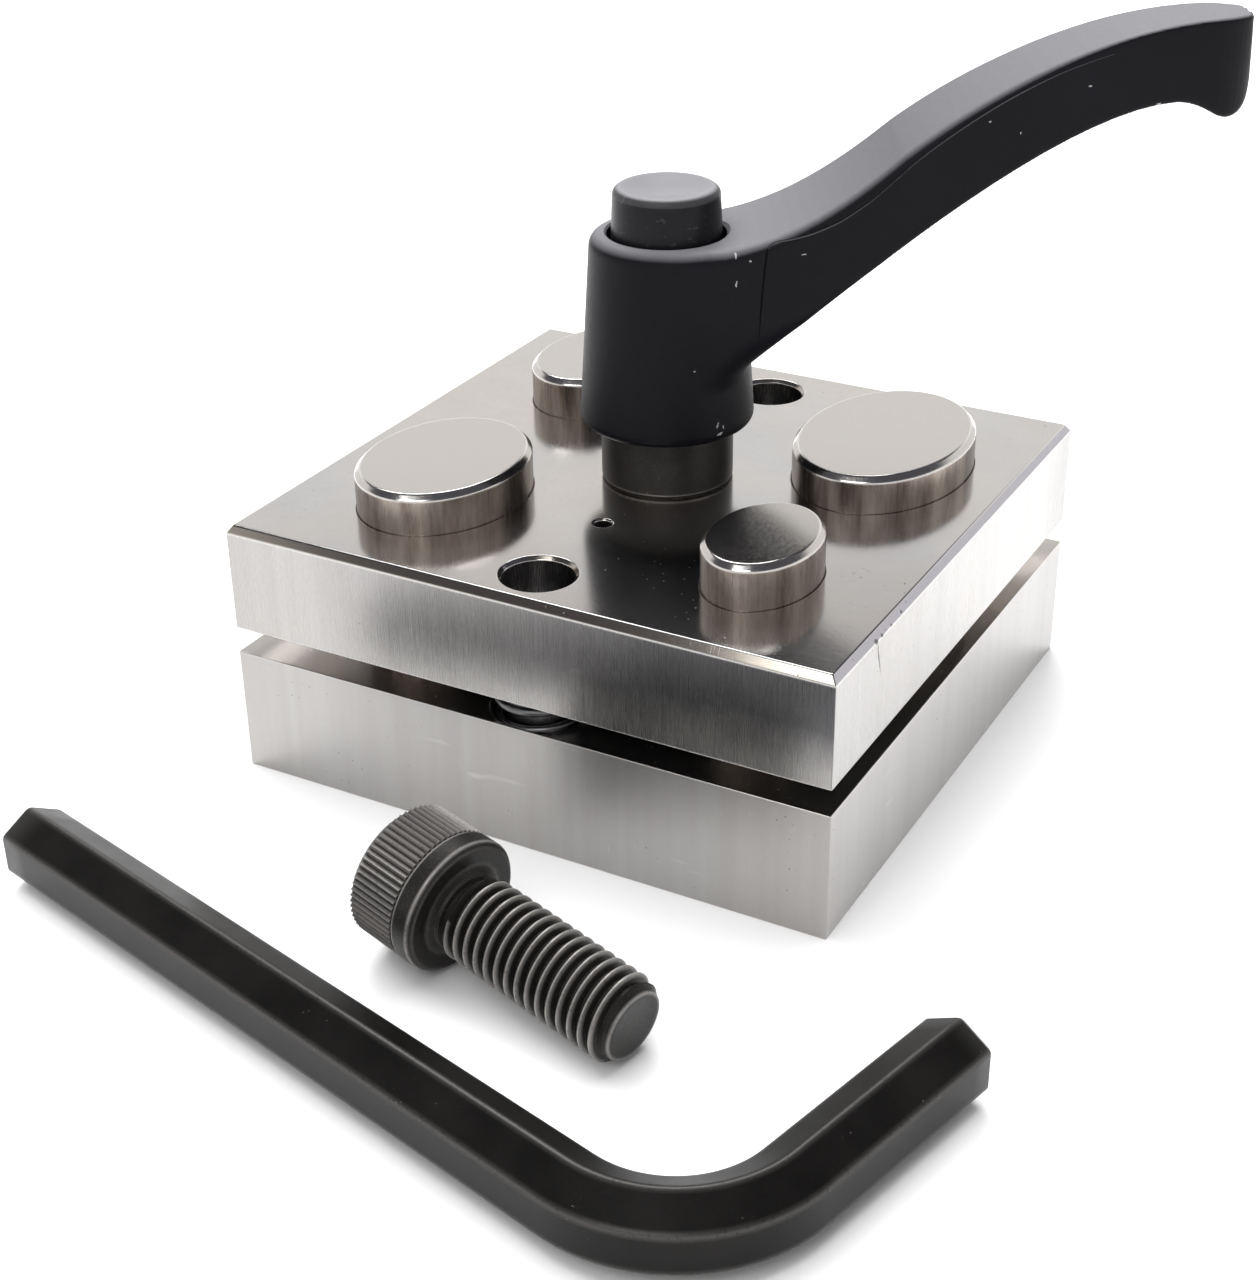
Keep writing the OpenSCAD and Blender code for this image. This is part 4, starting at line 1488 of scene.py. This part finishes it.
def make_surroundings():
    """White walls all round, with a darker ceiling overhead."""
    world = bpy.data.worlds.new("studio")
    bpy.context.scene.world = world
    world.use_nodes = True
    tree = world.node_tree
    tree.nodes.clear()
    where = add(tree, "ShaderNodeTexCoord")
    parts = add(tree, "ShaderNodeSeparateXYZ", {0: where.outputs["Generated"]})
    wall_top, ceiling = 0.43, 0.56
    height = add(tree, "ShaderNodeMapRange", {
        0: parts.outputs[2], 1: wall_top, 2: ceiling, 3: 1.0, 4: 0.0},
        interpolation_type="SMOOTHSTEP")
    tone = add(tree, "ShaderNodeMix", {0: height.outputs[0], 6: (0.10, 0.10, 0.115, 1),
                                       7: (1.0, 0.985, 0.97, 1)}, data_type="RGBA")
    sky = add(tree, "ShaderNodeBackground", {0: tone.outputs[2], 1: 1.0})
    add(tree, "ShaderNodeOutputWorld", {0: sky.outputs[0]})


def make_camera(stage):
    """Camera that sees the block, the lever, the screw and the key."""
    az, el, roll = stage.azimuth, stage.elevation, stage.roll
    back = Vector((math.sin(az) * math.cos(el), -math.cos(az) * math.cos(el), math.sin(el)))
    level = Vector((math.cos(az), math.sin(az), 0))
    upright = back.cross(level)
    right = math.cos(roll) * level + math.sin(roll) * upright
    up = math.cos(roll) * upright - math.sin(roll) * level
    aim = Vector((-0.0065, 0.0010, 0.0074))
    data = bpy.data.cameras.new("camera")
    data.lens = stage.lens
    data.clip_start = 0.01
    camera = bpy.data.objects.new("camera", data)
    bpy.context.scene.collection.objects.link(camera)
    turn = Matrix((right, up, back)).transposed().to_4x4()
    camera.matrix_world = Matrix.Translation(aim + back * stage.distance) @ turn
    bpy.context.scene.camera = camera
    return camera


# ---------------------------------------------------------------- operators


def finishes():
    return bpy.context.scene.cutter_finishes


class CUTTER_OT_plates(bpy.types.Operator):
    """Build the two ground plates with their slots and holes"""

    bl_idname = "cutter.plates"
    bl_label = "Plates"

    def execute(self, context):
        block = context.scene.cutter_block
        colour = finishes().steel
        make_lower_plate(block, plate_steel("lower_plate_steel", colour, 0.22, 0.36))
        flat = (0, 0, 0)
        # Each mark is a centre, a turn and a size, in metres: one long scratch, then nicks
        scratch = [((0.040, -0.0264, 0.0304), (0.288, 0, 0), (0.0005, 0.00014, 0.0027)),
                   ((0.040, -0.0272, 0.0327), flat, (0.0008, 0.0005, 0.0003)),
                   ((0.0398, -0.0256, 0.0327), flat, (0.0008, 0.0003, 0.0002)),
                   ((0.0398, -0.0230, 0.0327), flat, (0.0008, 0.0002, 0.00015)),
                   ((0.0398, -0.0200, 0.0329), flat, (0.0008, 0.00025, 0.0002))]
        make_upper_plate(block, plate_steel("upper_plate_steel", colour, 0.15, 0.27, scratch,
                                            painted_reflection=True))
        return {"FINISHED"}


class CUTTER_OT_punches(bpy.types.Operator):
    """Build the four oval punches"""

    bl_idname = "cutter.punches"
    bl_label = "Punches"

    def execute(self, context):
        steel = punch_steel("hardened_punch_steel", finishes().punch)
        for node in PUNCHES:
            make_punch(node, context.scene.cutter_block, steel)
        return {"FINISHED"}


class CUTTER_OT_pins(bpy.types.Operator):
    """Build the two guide pins"""

    bl_idname = "cutter.pins"
    bl_label = "Guide pins"

    def execute(self, context):
        steel = turned_steel("guide_pin_steel", finishes().pin, 0.26)
        for node in PINS:
            make_pin(node, steel)
        return {"FINISHED"}


class CUTTER_OT_springs(bpy.types.Operator):
    """Build the two lifting springs and the spring inside the lever"""

    bl_idname = "cutter.springs"
    bl_label = "Springs"

    def execute(self, context):
        steel = turned_steel("spring_wire_painted_shade", finishes().wire, 0.3)
        turns = context.scene.cutter_fasteners.spring_turns
        tree = coil_tree()
        for node in ("lift_spring_front", "lift_spring_rear"):
            make_spring(node, "base", 1.0, steel, turns, tree)
        make_spring("handle_spring", "clamp_screw", 1.1, steel, turns, tree)
        return {"FINISHED"}


class CUTTER_OT_lever(bpy.types.Operator):
    """Build the cast lever handle"""

    bl_idname = "cutter.lever"
    bl_label = "Lever handle"

    def execute(self, context):
        scene = context.scene
        make_lever(scene.cutter_lever, scene.cutter_fasteners.teeth, finishes().coat)
        return {"FINISHED"}


class CUTTER_OT_clamp(bpy.types.Operator):
    """Build the stud, the toothed insert, its screw and washer and the release button"""

    bl_idname = "cutter.clamp"
    bl_label = "Clamp parts"

    def execute(self, context):
        fasteners = context.scene.cutter_fasteners
        colours = finishes()
        black = oxide_steel("blackened_insert_steel", shade(colours.oxide, 0.8), 0.38, 0.6, 0.3)
        make_stud(fasteners, black)
        make_insert(fasteners, black, bars_tree())
        make_retaining_screw(black)
        make_washer(turned_steel("washer_steel", colours.pin, 0.34))
        make_button(button_plastic("black_button", colours.plastic))
        return {"FINISHED"}


class CUTTER_OT_loose_parts(bpy.types.Operator):
    """Build the loose cap screw and the hexagon key"""

    bl_idname = "cutter.loose_parts"
    bl_label = "Cap screw and key"

    def execute(self, context):
        fasteners = context.scene.cutter_fasteners
        colour = finishes().oxide
        screw_black = oxide_steel("cap_screw_oxide", shade(colour, 0.42), 0.42, 0.6, 0.3)
        make_cap_screw(fasteners, screw_black, bars_tree())
        key_black = oxide_steel("hex_key_oxide", shade(colour, 0.2), 0.36, 0.14, 0.04)
        make_hex_key(fasteners, key_black)
        return {"FINISHED"}


class CUTTER_OT_stage(bpy.types.Operator):
    """Set up the floor, the soft studio light and the camera"""

    bl_idname = "cutter.stage"
    bl_label = "Stage"

    def execute(self, context):
        stage = context.scene.cutter_stage
        context.scene.view_settings.view_transform = "Standard"
        make_floor(stage.floor)
        make_surroundings()
        make_lamp("overhead_lamp", (-0.3, 0.2, 1.3), (1.6, 1.6), 34)
        make_lamp("back_softbox", (-0.55, 0.75, 1.25), (0.9, 0.5), 9, in_reflections=True)
        make_lamp("front_softbox", (0.1, -1.0, 1.2), (0.9, 0.6), 7, in_reflections=True)
        make_camera(stage)
        return {"FINISHED"}


OPERATORS = (CUTTER_OT_stage, CUTTER_OT_plates, CUTTER_OT_punches, CUTTER_OT_pins,
             CUTTER_OT_springs, CUTTER_OT_lever, CUTTER_OT_clamp, CUTTER_OT_loose_parts)


class CUTTER_PT_panel(bpy.types.Panel):
    """Lists the cutter's pieces and their sizes"""

    bl_idname = "CUTTER_PT_panel"
    bl_label = "Disc cutter"
    bl_space_type = "VIEW_3D"
    bl_region_type = "UI"
    bl_category = "Disc cutter"

    def draw(self, context):
        for operator in OPERATORS:
            self.layout.operator(operator.bl_idname)
        for settings in GROUPS:
            box = self.layout.box()
            box.label(text=settings.__name__)
            group_of = getattr(context.scene, GROUPS[settings])
            for name in settings.__annotations__:
                box.prop(group_of, name)


GROUPS = {BlockSizes: "cutter_block", LeverSizes: "cutter_lever",
          FastenerSizes: "cutter_fasteners", Finishes: "cutter_finishes",
          StageSettings: "cutter_stage"}


def register():
    for cls, name in GROUPS.items():
        bpy.utils.register_class(cls)
        setattr(bpy.types.Scene, name, PointerProperty(type=cls))
    for cls in (*OPERATORS, CUTTER_PT_panel):
        bpy.utils.register_class(cls)


def unregister():
    for cls in (CUTTER_PT_panel, *reversed(OPERATORS)):
        bpy.utils.unregister_class(cls)
    for cls, name in GROUPS.items():
        delattr(bpy.types.Scene, name)
        bpy.utils.unregister_class(cls)


def main():
    register()
    for operator in OPERATORS:
        module, name = operator.bl_idname.split(".")
        getattr(getattr(bpy.ops, module), name)()


if __name__ == "__main__":
    main()
